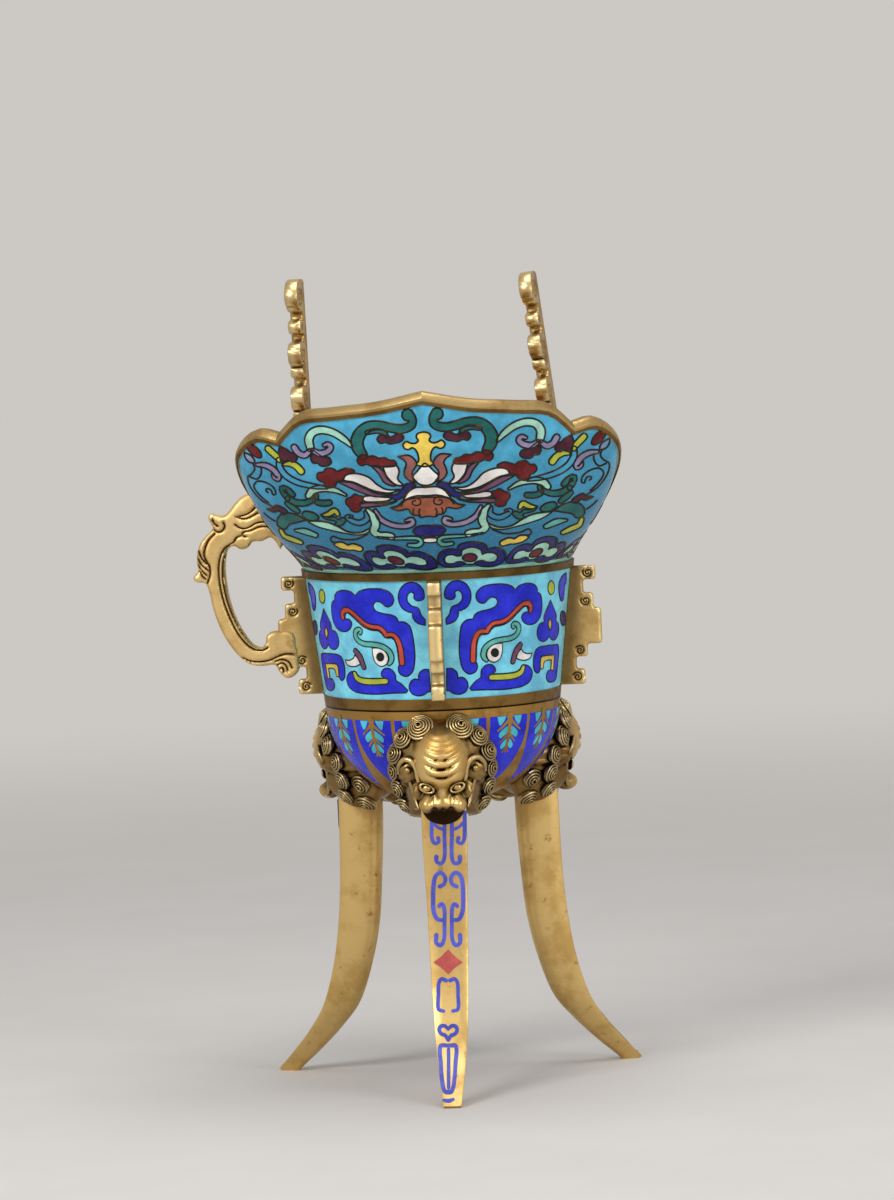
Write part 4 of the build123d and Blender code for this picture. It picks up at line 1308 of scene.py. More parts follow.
# %% Cloud border
CLOUD_HEADS = 14
CLOUD_PITCH = 360 / CLOUD_HEADS
CLOUD = [
    ("shape", "navy", [
        (76, 1372), (88, 1320), (140, 1290), (196, 1286), (226, 1298), (226, 1298), (240, 1256),
        (290, 1236), (344, 1230), (410, 1238), (452, 1260), (466, 1292), (466, 1292), (500, 1276),
        (556, 1280), (600, 1316), (600, 1362), (566, 1402), (500, 1422), (420, 1420), (364, 1402),
        (364, 1402), (290, 1404), (290, 1404), (226, 1424), (146, 1426), (94, 1408),
    ]),
    ("shape", "mint", [
        (124, 1374), (136, 1340), (184, 1328), (226, 1340), (256, 1336), (256, 1336), (264, 1294),
        (336, 1270), (408, 1288), (424, 1326), (424, 1326), (464, 1312), (520, 1318), (544, 1346),
        (520, 1380), (466, 1388), (414, 1374), (372, 1384), (350, 1404), (324, 1408), (298, 1404),
        (276, 1390), (232, 1384), (196, 1398), (146, 1398),
    ]),
    ("shape", "crimson", oval(324, 1352, 56, 32)),
]
CLOUD_MIDDLE = (333, 1298)
STRIP_FOOT = 0.05
STRIP_HEIGHT = 1.1
LEAST_SHARE = 0.004
CLOUD_LIFT = 2


def share_at(angle, z):
    """How far up the wall's curve a height lies."""
    neck, bend, lip = meridian(angle)
    a, b, c = neck.y - 2 * bend.y + lip.y, 2 * (bend.y - neck.y), neck.y - z
    return (-b + sqrt(max(b * b - 4 * a * c, 0.0))) / (2 * a) if abs(a) > SAME_POINT else -c / b


def by_angle(spot):
    return NECK_RADIUS * atan2(spot.x, -spot.y), spot.z


def at_height(angle, z, rise):
    """Point on the outside of the mouth's wall at an angle and a height."""
    return wall_point(angle, max(share_at(angle, z), LEAST_SHARE), -rise)


strip_rows = []
for up in (STRIP_FOOT, STRIP_HEIGHT / 2, STRIP_HEIGHT):
    strip_rows.append([at_height(angle, NECK_Z + up, CELL_RISE / 2) for angle in ALL_ROUND])
mouth_work.grid(strip_rows, "mint", closed=True)
cloud = read_off(CLOUD, LOTUS_ENLARGED, mouth_wall, by_angle)
left, top, zoom = LOTUS_ENLARGED
cloud_spot, _ = mouth_wall.hit(eye, sight(left + CLOUD_MIDDLE[0] / zoom, top + CLOUD_MIDDLE[1] / zoom))
cloud_middle = by_angle(cloud_spot)[0]
for number in range(CLOUD_HEADS):

    def on_neck(along, z, rise, number=number):
        angle = (along - cloud_middle) / NECK_RADIUS * 180 / pi + (number + 0.5) * CLOUD_PITCH
        return at_height(angle, z, rise)

    for layer, (_, colour, points) in enumerate(cloud):
        mouth_work.shape(points, colour, on_neck, layer * CLOUD_LIFT)
print("cloud heads:", CLOUD_HEADS)

# %% [markdown]
# The underside of the spout carries the same lotus, smaller. The drawing is already there as points of an
# upright sheet, so it is laid down along the spout and pushed up onto it from below.

# %% Lotus under the spout
SPOUT_SHRINK = 0.40
SPOUT_ROOT = 35.0
SPOUT_STRETCH = 0.98
LOTUS_FOOT = NECK_Z + 6.0


def under_spout(x, z, rise):
    """The lotus again, smaller, drawn along the underside of the spout."""
    below = Vector((x * SPOUT_SHRINK, SPOUT_ROOT + (z - LOTUS_FOOT) * SPOUT_STRETCH, 0))
    spot, normal = mouth_wall.hit(below, Vector((0, 0, 1)), NECK_Z)
    return spot + normal * rise


for drawing in (lotus_half, mirrored(lotus_half), lotus_middle):
    mouth_work.draw(drawing, under_spout)
print("points on the mouth so far:", len(mouth_work.points))

# %% [markdown]
# At the waist the wall between tail and spout is low, and small sprays of leaves fill it. They are drawn in
# real sizes, and laid on by angle and by a share of the way up the wall.

# %% Sprays at the waist
SPRAY = [
    ("stroke", "teal", [
        (-7.4, -2.6, 0.5), (-4.4, -1.2, 0.9), (-1.0, 0.9, 1.1), (3.2, 1.2, 1.0), (5.6, -0.6, 0.9),
        (4.6, -2.4, 0.8), (2.6, -1.9, 0.6),
    ]),
    ("stroke", "mint", [(-4.2, -0.9, 0.4), (-3.4, 1.4, 0.9), (-0.6, 3.0, 1.1), (2.4, 3.0, 0.9)]),
    ("stroke", "lilac", [(5.8, -0.4, 0.4), (7.8, 0.8, 0.8), (8.4, 2.4, 0.8), (7.2, 3.2, 0.5)]),
    ("shape", "maroon", oval(4.2, 3.1, 1.3, 0.8, 20)),
    ("shape", "crimson", oval(7.8, -1.8, 1.2, 0.7, -30)),
    ("stroke", "lime", [(-6.0, -1.9, 0.4), (-6.8, 0.2, 0.9), (-5.8, 1.8, 0.6)]),
]
SPRAY_TURN = 1.5
SPRAY_PLACES = [
    (68.0, 0.60, 21.0, 1), (-68.0, 0.60, 21.0, -1), (137.0, 0.56, 17.0, -1), (-137.0, 0.56, 17.0, 1),
]
for turn, share, tall, hand in SPRAY_PLACES:

    def on_waist(along, up, rise, turn=turn, share=share, tall=tall, hand=hand):
        return wall_point(turn + hand * along * SPRAY_TURN, share + up / tall, -rise)

    mouth_work.draw(SPRAY, on_waist)
mouth_work.piece("mouth_cloisons", "turquoise_enamel", sharp=radians(70))

# %% [markdown]
# The bowl is gilt, with a ring of pointed leaves let into it. Each is a cobalt lappet with a herringbone
# leaf in turquoise on it. One leaf is drawn flat and pushed straight in onto the round of the bowl, which
# is how the CAD pockets are cut, so the glass fills them.

# %% Lappets on the bowl
LAPPETS = 15
LAPPET_LENGTH = 16.0
LAPPET_TOP_Z = BOWL_RIM_Z - 1.9
LAPPET_HALF = pi * BOWL_RADIUS / LAPPETS * 0.89


def bowl_radius(z):
    """Outside of the bowl at a height."""
    return BOWL_RADIUS * sqrt(max(1 - ((BOWL_RIM_Z - z) / BOWL_DEPTH) ** 2, 0.0))


def on_side(angle, sideways, out, z):
    """Point given from a direction round the vessel: sideways, outwards and up."""
    way = radians(angle)
    return Vector((out * sin(way) + sideways * cos(way), -out * cos(way) + sideways * sin(way), z))


LAPPET_WIDTHS = [(0.0, 1.02), (0.0, 1.02), (0.3, 0.97), (0.55, 0.76), (0.77, 0.47), (1.0, 0.0), (1.0, 0.0)]
LAPPET_SIDE = [(LAPPET_HALF * wide, LAPPET_TOP_Z - LAPPET_LENGTH * down) for down, wide in LAPPET_WIDTHS]
lappet_edge = LAPPET_SIDE + [(-x, z) for x, z in LAPPET_SIDE[-3::-1]]
LEAF_CELLS = [
    [(1.0, 0.1), (1.0, 0.1), (3.2, 0.1), (3.2, 0.1), (2.9, 1.3), (2.45, 2.1), (1.6, 1.3)],
    [(0.4, 2.3), (1.4, 2.8), (2.5, 3.9), (2.1, 4.9), (1.2, 4.4), (0.4, 3.8)],
    [(0.3, 5.1), (1.0, 5.6), (1.65, 6.7), (1.2, 7.4), (0.35, 6.6)],
]
LEAF_VEINS = [
    [(0.25, 0.9, 0.7), (1.4, 2.0, 0.62), (2.9, 3.2, 0.36)],
    [(0.15, 4.0, 0.6), (1.1, 5.0, 0.52), (1.95, 5.8, 0.32)],
    [(0.1, 7.0, 0.5), (0.75, 8.1, 0.3)],
]
LEAF_STALK = [(0.0, 0.05, 1.7), (0.0, 1.2, 1.05), (0.0, 4.0, 0.8), (0.0, 8.0, 0.5)]


def down_leaf(points, hand=1):
    """Points of a leaf, given as depths below its top, on its right or left side."""
    return [(hand * x, LAPPET_TOP_Z - depth, *width) for x, depth, *width in points]


lappets = Enamelwork()
lappets.metal = None
for number in range(LAPPETS):

    def on_bowl(x, z, rise, angle=(number + 0.5) * 360 / LAPPETS):
        deep = sqrt(max(bowl_radius(z) ** 2 - x * x, 0.0))
        return on_side(angle, x, deep, z) + on_side(angle, x / BOWL_RADIUS, deep / BOWL_RADIUS, 0.0) * rise

    lappets.shape(lappet_edge, "cobalt", on_bowl, layer=0)
    for hand in (1, -1):
        for cell in LEAF_CELLS:
            lappets.shape(down_leaf(cell, hand), "leaf_green", on_bowl, layer=2)
        for vein in LEAF_VEINS:
            lappets.stroke(down_leaf(vein, hand), "gilt_line", on_bowl, layer=4)
    lappets.stroke(down_leaf(LEAF_STALK), "gilt_line", on_bowl, layer=5)
lappets.piece("bowl_lappet_enamel", "cobalt_enamel", ["bowl_lappets"], sharp=radians(70))

# %% [markdown]
# Each leg is a sabre: flat in front, with flanks that run together behind, swept out to a small flat foot.
# Level sections are joined from the bowl down, because a section swept along the leg's curve would tilt the
# foot off the table.

# %% Leg sections
LEG_TURNS = {"tail": 0, "left": -120, "right": 120}
LEG_ROWS = [
    (69.5, 25.5, 17.7, 4.9), (57.0, 25.6, 17.7, 4.9), (44.0, 26.2, 18.5, 4.5), (34.7, 27.2, 19.4, 4.25),
    (25.6, 28.9, 21.6, 4.05), (16.2, 32.2, 25.3, 3.65), (10.2, 36.3, 30.4, 3.2), (4.7, 41.5, 36.3, 2.6),
    (1.6, 44.8, 40.1, 2.15), (0.5, 45.9, 41.4, 1.95), (0.0, 45.2, 41.8, 1.75),
]
LEG_LOOP = [
    (-0.9, 0.0), (-0.45, 0.0), (0.0, 0.0), (0.45, 0.0), (0.9, 0.0), (0.985, 0.02), (1.0, 0.06),
    (0.87, 0.32), (0.72, 0.58), (0.56, 0.82), (0.4, 0.95), (0.2, 0.99), (0.0, 1.0), (-0.2, 0.99),
    (-0.4, 0.95), (-0.56, 0.82), (-0.72, 0.58), (-0.87, 0.32), (-1.0, 0.06), (-0.985, 0.02),
]
leg_levels = curve_through(LEG_ROWS, step=1.2)
leg_levels[-1].x = 0.0


def leg_front(z):
    """Outside of a leg at a height."""
    for above, below in zip(leg_levels, leg_levels[1:]):
        if below.x <= z <= above.x:
            share = (above.x - z) / max(above.x - below.x, SAME_POINT)
            return above.y + (below.y - above.y) * share
    return leg_levels[0].y


def leg_loop(angle, level):
    z, front, rear, half = level
    return [on_side(angle, half * a, front + (rear - front) * b, max(z, 0.0)) for a, b in LEG_LOOP]


print("leg sections:", len(leg_levels))

# %% [markdown]
# The flat front carries blue scrollwork and a red lozenge, let straight into the gilding with no wires, so
# those cells are drawn without a ridge. Half of it is read off the front leg, mirrored over the leg's middle
# line, and laid on all three legs.

# %% Scrollwork and legs
SCROLL_ENLARGED = (400, 800, 4.9)
SCROLL_MIDDLE = 236
SCROLL_HALF = [
    ("stroke", "periwinkle", [
        (155, 60, 0.85), (155, 130, 0.85), (157, 190, 0.85), (170, 213, 0.8), (190, 204, 0.8),
        (186, 186, 0.9),
    ]),
    ("stroke", "periwinkle", [(158, 108, 0.7), (186, 134, 0.7), (216, 146, 0.7)]),
    ("stroke", "periwinkle", [
        (218, 60, 0.85), (218, 180, 0.85), (218, 280, 0.85), (204, 311, 0.85), (180, 303, 0.85),
        (178, 278, 1.0),
    ]),
    ("stroke", "periwinkle", [
        (194, 424, 0.9), (216, 412, 0.85), (222, 380, 0.85), (200, 356, 0.85), (176, 370, 0.9),
        (165, 410, 0.95), (162, 480, 0.95), (165, 545, 0.95), (184, 584, 0.9), (214, 588, 0.8),
    ]),
    ("stroke", "periwinkle", [
        (192, 520, 0.9), (206, 508, 0.85), (217, 532, 0.85), (218, 620, 0.85), (216, 680, 0.85),
        (200, 712, 0.9), (178, 700, 0.9), (178, 662, 1.0),
    ]),
    ("stroke", "periwinkle", [
        (226, 884, 0.9), (204, 876, 0.8), (190, 896, 0.8), (188, 950, 0.8), (188, 1024, 0.8),
        (214, 1034, 0.7),
    ]),
    ("stroke", "periwinkle", [
        (236, 1122, 0.7), (218, 1106, 0.8), (198, 1110, 0.85), (192, 1130, 0.85), (206, 1148, 0.8),
        (220, 1152, 0.8), (236, 1174, 0.85),
    ]),
    ("stroke", "periwinkle", [
        (236, 1203, 0.8), (198, 1206, 0.9), (200, 1290, 0.9), (208, 1390, 0.9), (220, 1428, 0.9),
        (236, 1431, 0.9),
    ]),
]
SCROLL_WHOLE = [
    ("shape", "coral_rose", [
        (236, 730), (236, 730), (269, 765), (308, 795), (308, 795), (269, 823), (236, 856), (236, 856),
        (203, 823), (163, 795), (163, 795), (203, 765),
    ]),
    ("stroke", "periwinkle", [(238, 1222, 0.8), (238, 1320, 0.8), (238, 1408, 0.8)]),
    ("stroke", "periwinkle", [(214, 1470, 0.6), (238, 1474, 0.8), (262, 1467, 0.6)]),
]


def other_half(drawing):
    """The same strokes on the other side of the leg's middle line."""
    other = []
    for kind, colour, points in drawing:
        other.append((kind, colour, [(2 * SCROLL_MIDDLE - x, *rest) for x, *rest in points]))
    return other


# A near-black patch laid on each leg under the lion's nose: a painted shadow of the nose.
NOSE_SHADOW_PATCH = [
    (-4.6, 66.0), (-4.6, 66.0), (4.6, 66.0), (4.6, 66.0), (4.55, 62.2), (3.4, 60.3), (1.7, 59.4),
    (0.0, 59.1), (-1.7, 59.4), (-3.4, 60.3), (-4.55, 62.2),
]
SHEET_ACROSS = (-9, 0, 9)
leg_sheet = Stock()
leg_sheet.grid([[on_side(0, x, level.y, level.x) for x in SHEET_ACROSS] for level in leg_levels], "gilt_leg")
leg_drawing = SCROLL_HALF + other_half(SCROLL_HALF) + SCROLL_WHOLE
scrollwork = read_off(leg_drawing, SCROLL_ENLARGED, Wall(leg_sheet), upright)
for name, angle in LEG_TURNS.items():
    leg = Enamelwork()
    leg.metal = None
    loops = [leg_loop(angle, level) for level in leg_levels]
    leg.grid(loops, "gilt_leg", closed=True)
    leg.add(loops[-1], [list(range(len(LEG_LOOP)))], "gilt_leg")
    leg.add(loops[0], [list(range(len(LEG_LOOP)))[::-1]], "gilt_leg")

    def on_leg(x, z, rise, angle=angle):
        return on_side(angle, x, leg_front(z) + rise, z)

    leg.draw(scrollwork, on_leg)
    leg.shape(NOSE_SHADOW_PATCH, "gilt_soot", on_leg, layer=7)
    leg.piece("leg_sabre_" + name, "gilt_bronze", ["leg_" + name], sharp=radians(40))

# %% [markdown]
# Flanges, handle, posts and masks are castings, chased after casting. Each is built the same way: an
# outline is filled with a fine grid, and a height is worked out for every grid point, front and back. The
# height falls away in a round at the edge, and drops where a chased line runs near.

# %% Cast reliefs
EDGE_STEP = 0.4
GROOVE_BRIM = 1.25
NO_GROOVE = 9.0
CORNER_SHARE = 0.45
SPIRAL_POINTS = 24
SPIRAL_CLOSE = 0.82


def relief(outline, front, back, grid, extras=()):
    """Closed form over a flat outline: points with their heights, and faces."""
    spots, faces = filled(outline, grid, extras)
    count = len(spots)
    points = [(p.x, p.y, front(p)) for p in spots] + [(p.x, p.y, back(p)) for p in spots]
    skin = [list(face) for face in faces] + [[count + corner for corner in face[::-1]] for face in faces]
    sides = {(a, b) for face in faces for a, b in zip(face, list(face[1:]) + [face[0]])}
    skin += [[b, a, count + a, count + b] for a, b in sorted(sides) if (b, a) not in sides]
    return points, skin


def plate(outline, half, edge, grooves=(), depth=0.4, width=0.32, grid=0.5, swell=None):
    """Casting that is the same on both sides, half as thick as given from its middle plane."""
    border = Trace([outline])
    chased = Trace(grooves) if grooves else None

    def height(spot):
        inward = min(border.distance(spot) / edge, 1.0)
        tall = half + (swell(spot) if swell else 0.0) - edge * (1 - sqrt(1 - (1 - inward) ** 2))
        near = chased.distance(spot) / width if chased else NO_GROOVE
        return tall - depth * exp(-near * near)

    def depth_behind(spot):
        return -height(spot)

    extras = []
    for line in grooves:
        for number, spot in enumerate(line):
            aside = across(line, number, False) * (width * GROOVE_BRIM)
            extras += [spot, spot + aside, spot - aside]
    return relief(outline, height, depth_behind, grid, extras)


def rounded(corners, radius):
    """Closed outline with its corners rounded and its runs divided evenly."""
    turns = []
    for number, corner in enumerate(corners):
        here = Vector(corner)
        before = Vector(corners[number - 1])
        after = Vector(corners[(number + 1) % len(corners)])
        shorter = min((before - here).length, (after - here).length)
        room = min(radius, shorter * CORNER_SHARE)
        start = here + (before - here).normalized() * room
        end = here + (after - here).normalized() * room
        for t in (0.0, 0.25, 0.5, 0.75, 1.0):
            turns.append(start * (1 - t) ** 2 + here * (2 * t * (1 - t)) + end * t**2)
    outline = []
    for start, end in zip(turns, turns[1:] + turns[:1]):
        steps = max(1, ceil((end - start).length / EDGE_STEP))
        outline += [start + (end - start) * (k / steps) for k in range(steps)]
    return outline


def spiral(x, y, radius, turns, begin=0.0, way=1):
    """Line that winds in from a radius towards its middle."""
    line = []
    steps = ceil(SPIRAL_POINTS * turns)
    for k in range(steps + 1):
        t = k / steps
        turn = radians(begin) + way * 2 * pi * turns * t
        reach = radius * (1 - SPIRAL_CLOSE * t)
        line.append(Vector((x + reach * cos(turn), y + reach * sin(turn))))
    return line


print("points on one turn of a spiral:", len(spiral(0.0, 0.0, 1.0, 1.0)))

# %% [markdown]
# Four flanges stand on the band where its panels meet. Each is a stepped plate with a spiral chased on
# each of its four small blocks. A block could be made once and repeated, but the flange is one casting, so
# its whole edge is listed as steps down the band, and one outline is rounded and filled.

# %% Flanges
FLANGE_HALF_THICK = 1.5
FLANGE_SUNK = 0.6
FLANGE_ROUND = 0.7
BLOCK_SPIRAL = dict(radius=1.05, turns=1.6, begin=150)
SPIRAL_INSET = 1.75
FLANGE_STEPS = [(3.0, 5.6), (3.0, 3.2), (3.35, 5.7), (7.8, 8.0), (2.8, 5.4), (2.8, 3.2), (3.25, 5.4)]
FLANGE_TURNS = {"tail": 0, "plain": 90, "spout": 180, "handle": -90}
flange_corners = [(band_radius(z) - FLANGE_SUNK, z) for z in (PANEL_Z, PANEL_TOP_Z)]
flange_lines = []
step_top = PANEL_TOP_Z
for number, (height, out) in enumerate(FLANGE_STEPS):
    step_foot = PANEL_Z if number == len(FLANGE_STEPS) - 1 else step_top - height
    middle = (step_top + step_foot) / 2
    edge_at = band_radius(middle) + out
    flange_corners += [(edge_at, step_top), (edge_at, step_foot)]
    if number % 2 == 0:
        hand = 1 if number < 3 else -1
        flange_lines.append(spiral(edge_at - SPIRAL_INSET, middle, way=hand, **BLOCK_SPIRAL))
    step_top = step_foot
flange_edge = rounded(flange_corners, FLANGE_ROUND)
flange_form, flange_skin = plate(
    flange_edge, FLANGE_HALF_THICK, edge=0.35, grooves=flange_lines, depth=0.42, width=0.2, grid=0.45)
for name, angle in FLANGE_TURNS.items():
    flange = Stock()
    flange.add([on_side(angle, thick, out, z) for out, z, thick in flange_form], flange_skin, "gilt_flange")
    flange.piece("flange_plate_" + name, "gilt_bronze", ["flange_" + name], sharp=radians(60), solid=True)

# %% [markdown]
# The handle is a dragon bent into a loop. It bites the lip at the waist, and its tail laps over the flange
# below. It could be swept along its bend, but the photograph shows its outline so well that this is drawn
# in real sizes, as width from the axis and height. The chased lines are read off the photograph onto the
# handle's near face.

# %% Dragon handle
HANDLE_OUTLINE = [
    (-29.0, 126.2), (-30.2, 128.6), (-33.4, 130.6), (-37.2, 131.6), (-40.8, 131.1), (-42.5, 130.5),
    (-44.1, 129.0), (-45.5, 127.3), (-46.6, 126.5), (-48.2, 126.6), (-49.4, 127.1), (-49.9, 126.5),
    (-49.6, 125.2), (-49.0, 123.9), (-50.6, 122.2), (-51.9, 120.7), (-52.7, 118.4), (-52.8, 116.2),
    (-52.6, 114.6), (-53.6, 113.5), (-53.8, 112.9), (-53.0, 112.1), (-51.2, 111.8), (-50.4, 109.8),
    (-49.7, 106.1), (-48.5, 102.3), (-46.9, 98.9), (-44.8, 95.9), (-42.5, 93.8), (-39.6, 93.1),
    (-36.6, 93.2), (-35.7, 91.6), (-34.2, 90.2), (-32.5, 90.6), (-31.3, 92.1), (-31.2, 94.0), (-31.6, 97.5),
    (-32.2, 100.2), (-33.6, 100.7), (-35.1, 100.6), (-36.9, 100.5), (-38.2, 99.7), (-38.4, 98.2),
    (-39.5, 97.1), (-41.4, 98.0), (-43.1, 100.3), (-44.5, 103.0), (-45.7, 106.6), (-46.4, 110.3),
    (-46.7, 114.3), (-46.4, 117.6), (-45.7, 119.3), (-44.4, 119.8), (-43.0, 119.0), (-41.4, 119.4),
    (-40.4, 120.6), (-38.3, 120.7), (-36.4, 121.4), (-35.4, 120.6), (-34.4, 118.7), (-34.4, 118.7),
    (-33.4, 120.2), (-32.6, 121.6), (-30.6, 121.4), (-29.2, 123.6),
]
HANDLE_HALF = 2.6
HEAD_MIDDLE = Vector((-39.0, 125.6))
HEAD_SWELL = 1.0
HEAD_REACH = 9.0
LAP_FROM = -40.0
LAP_WIDE = 5.0
LAP_BELOW = 106.0
LAP_THIN = 0.7
HANDLE_ENLARGED = (185, 480, 7.127)
HANDLE_LINES = [
    [(368, 262), (400, 256), (440, 244), (476, 222), (506, 188)],
    [(380, 268), (410, 276), (450, 270), (500, 244), (540, 222)],
    [(356, 316), (384, 336), (420, 346), (462, 334), (510, 306), (556, 298), (606, 310), (650, 334)],
    [(402, 392), (424, 368), (466, 360), (520, 336), (570, 330), (620, 344), (660, 372)],
    [(352, 436), (366, 412), (396, 398), (440, 404)],
    [(202, 350), (230, 372), (266, 362), (282, 330), (272, 300)],
    [(196, 284), (206, 310), (232, 330)],
    [(214, 382), (172, 424), (144, 484), (136, 540), (152, 576), (172, 610), (178, 670), (162, 732)],
    [(98, 508), (120, 560), (156, 600)],
    [(92, 556), (118, 606), (160, 642)],
    [(94, 602), (120, 648), (160, 684)],
    [(104, 650), (128, 690), (152, 712)],
    [
        (340, 448), (284, 486), (252, 548), (240, 640), (248, 740), (274, 860), (318, 980), (380, 1100),
        (440, 1172), (492, 1208), (550, 1216), (590, 1196),
    ],
    [
        (306, 500), (276, 556), (266, 640), (272, 740), (298, 860), (342, 980), (402, 1092), (456, 1158),
        (504, 1190), (548, 1194),
    ],
    [(410, 1266), (470, 1292), (540, 1296), (610, 1284), (668, 1258), (720, 1242), (790, 1246)],
    [(640, 1296), (690, 1282), (738, 1300), (760, 1340)],
    [(656, 1322), (694, 1306), (722, 1330), (730, 1364)],
    [(668, 1352), (694, 1340), (704, 1376)],
]


def on_handle_face(x, y):
    """Where a line of sight meets the near face of the handle."""
    left, top, zoom = HANDLE_ENLARGED
    way = sight(left + x / zoom, top + y / zoom)
    spot = eye + way * ((-HANDLE_HALF - eye.y) / way.y)
    return spot.x, spot.z


def handle_swell(spot):
    """Fuller at the head, thinner where the tail laps the flange."""
    head = max(0.0, 1 - ((spot - HEAD_MIDDLE).length / HEAD_REACH) ** 2)
    foot = min(max((spot.x - LAP_FROM) / LAP_WIDE, 0.0), 1.0) if spot.y < LAP_BELOW else 0.0
    return HEAD_SWELL * head - LAP_THIN * foot


handle_edge = curve_through(HANDLE_OUTLINE, closed=True)
handle_lines = [curve_through([on_handle_face(x, y) for x, y in line], step=0.3) for line in HANDLE_LINES]
handle_form, handle_skin = plate(
    handle_edge, HANDLE_HALF, edge=0.8, grooves=handle_lines, depth=0.6, width=0.22, grid=0.4,
    swell=handle_swell)
handle = Stock()
handle.add([(x, thick, z) for x, z, thick in handle_form], handle_skin, "gilt_matt")
handle.piece("dragon_handle", "gilt_bronze", ["handle"], sharp=radians(70), solid=True)

# %% [markdown]
# Each post is an upright plate of scrolls: a straight spine behind, and in front a large curled head, small
# knobs and square-shouldered curls below it. The scrolls could be bent from rods, but they all lie in one
# plane, so one outline is filled and chased. A block at its foot clips over the lip.

# %% Posts
POST_AT = {"handle_side": (-1, -1.0), "plain_side": (1, -6.5)}
POST_X = 28.38
POST_Y = 11.01
POST_Z = NECK_Z + 8.4
POST_SPINE = 3.6
POST_HALF = 1.5
POST_TURN = radians(9.5)
CURL_TOPS = [41.0, 31.2, 21.6]
POST_HEAD = [
    (POST_SPINE, 53.6), (2.9, 54.8), (0.6, 55.0), (-1.9, 54.6), (-3.6, 53.2), (-4.3, 51.4), (-4.1, 50.0),
    (-3.6, 49.2), (-3.6, 49.2), (-2.6, 49.3), (-2.5, 48.6), (-1.6, 47.9), (0.2, 47.6), (0.7, 47.0),
]
POST_KNOB = [(0.4, 1.4), (-1.2, 1.5), (-2.3, 0.6), (-2.3, -0.7), (-1.3, -1.5), (0.6, -1.6), (0.8, -2.4)]
POST_CURL = [
    (0.2, 0.2), (-1.6, 0.2), (-3.2, -0.3), (-4.1, -1.7), (-4.0, -3.5), (-3.2, -4.9), (-3.2, -4.9),
    (-2.6, -4.8), (-1.6, -5.9), (0.2, -6.3),
]
POST_NECKS = [47.0, 42.0, 32.4, 22.8]
NECK_DEEP = 0.3
NECK_TALL = 0.7
CLIP_CORNERS = [(-1.6, -3.5), (5.2, -3.5), (5.2, 2.2), (-1.6, 2.2)]
CLIP_HALF = 3.4
POST_WINDING = dict(begin=30, way=-1)
KNOB_RISE = 3.5


def post_swell(spot):
    """Slimmer at the necks between the scrolls."""
    if spot.x >= 1.0:
        return 0.0
    return -NECK_DEEP * sum(exp(-((spot.y - neck) / NECK_TALL) ** 2) for neck in POST_NECKS)


post_edge = [(POST_SPINE, -3.4), (POST_SPINE, -3.4)] + POST_HEAD
post_lines = [spiral(-1.2, 51.4, 2.3, 1.8, **POST_WINDING)]
for curl_top in CURL_TOPS:
    post_edge += [(x, curl_top + KNOB_RISE + up) for x, up in POST_KNOB]
    post_edge += [(x, curl_top + up) for x, up in POST_CURL]
    post_lines.append(spiral(-1.5, curl_top - 2.6, 1.9, 1.6, **POST_WINDING))
    post_lines.append(spiral(-0.8, curl_top + KNOB_RISE, 0.9, 1.2, **POST_WINDING))
post_edge += [(0.4, 12.0), (0.4, 12.0), (0.4, -3.4), (0.4, -3.4)]
post_lines.append([Vector((2.4, 0.5 * k)) for k in range(4, 104)])
post_loop = curve_through(post_edge, closed=True)
post_form, post_skin = plate(
    post_loop, POST_HALF, edge=0.24, grooves=post_lines, depth=0.35, width=0.22, grid=0.4, swell=post_swell)
clip_form, clip_skin = plate(rounded(CLIP_CORNERS, 0.9), CLIP_HALF, edge=0.8, grid=0.8)
for name, (side, lean) in POST_AT.items():
    post = Stock()
    up = Vector((sin(radians(lean)), 0, cos(radians(lean))))
    along_plate = Vector((sin(POST_TURN), cos(POST_TURN), 0))
    over = Vector((cos(POST_TURN), -sin(POST_TURN), -up.x))
    root = Vector((side * POST_X, POST_Y, POST_Z))
    spine = root + Vector((0, POST_SPINE / 2, 0))
    post_points = []
    for along, rise, thick in post_form:
        post_points.append(spine + along_plate * (along - POST_SPINE / 2) + up * rise + over * thick)
    post.add(post_points, post_skin, "gilt_post")
    clip_points = [root + Vector((thick, along, rise)) for along, rise, thick in clip_form]
    post.add(clip_points, clip_skin, "gilt_post")
    post.piece("scroll_post_" + name, "gilt_bronze", ["post_" + name], sharp=radians(60), solid=True)

# %% [markdown]
# A lion mask grips the top of each leg: a high wrinkled forehead, slanting eyes, a broad nose over the
# mouth the leg comes out of, hooked ears, and a mane of snail curls. A sculptor would start from a few
# eggs of wax pressed together and then lay coils on them, and so does this: rays from the middle of the
# head stop at the farthest egg they leave, and rods are wound over that for curls, ears and eyelids.

# %% Mask forms
MASK_CORE = Vector((0.0, 21.5, 71.0))
MASK_EGGS = [
    ((0.0, 23.6, 73.5), (7.3, 9.9, 8.9)),
    ((0.0, 19.6, 72.4), (10.7, 9.4, 11.0)),
    ((0.0, 24.4, 65.4), (5.4, 5.3, 3.6)),
    ((0.0, 27.2, 64.1), (4.7, 3.6, 1.7)),
    ((0.0, 28.0, 66.2), (1.5, 2.6, 2.6)),
]
MASK_EGG_PAIRS = [
    ((4.9, 24.0, 75.0), (4.0, 4.6, 4.8)),
    ((5.2, 23.0, 66.6), (2.8, 4.8, 4.2)),
    ((7.2, 25.4, 71.4), (2.4, 2.6, 3.2)),
    ((5.8, 18.8, 65.0), (3.0, 6.0, 4.6)),
    ((3.3, 28.4, 63.9), (1.9, 2.7, 1.9)),
]
EYE = (3.3, 29.5, 67.5)
EYE_HALF = (1.55, 0.85)
EYE_TILT = 24.0
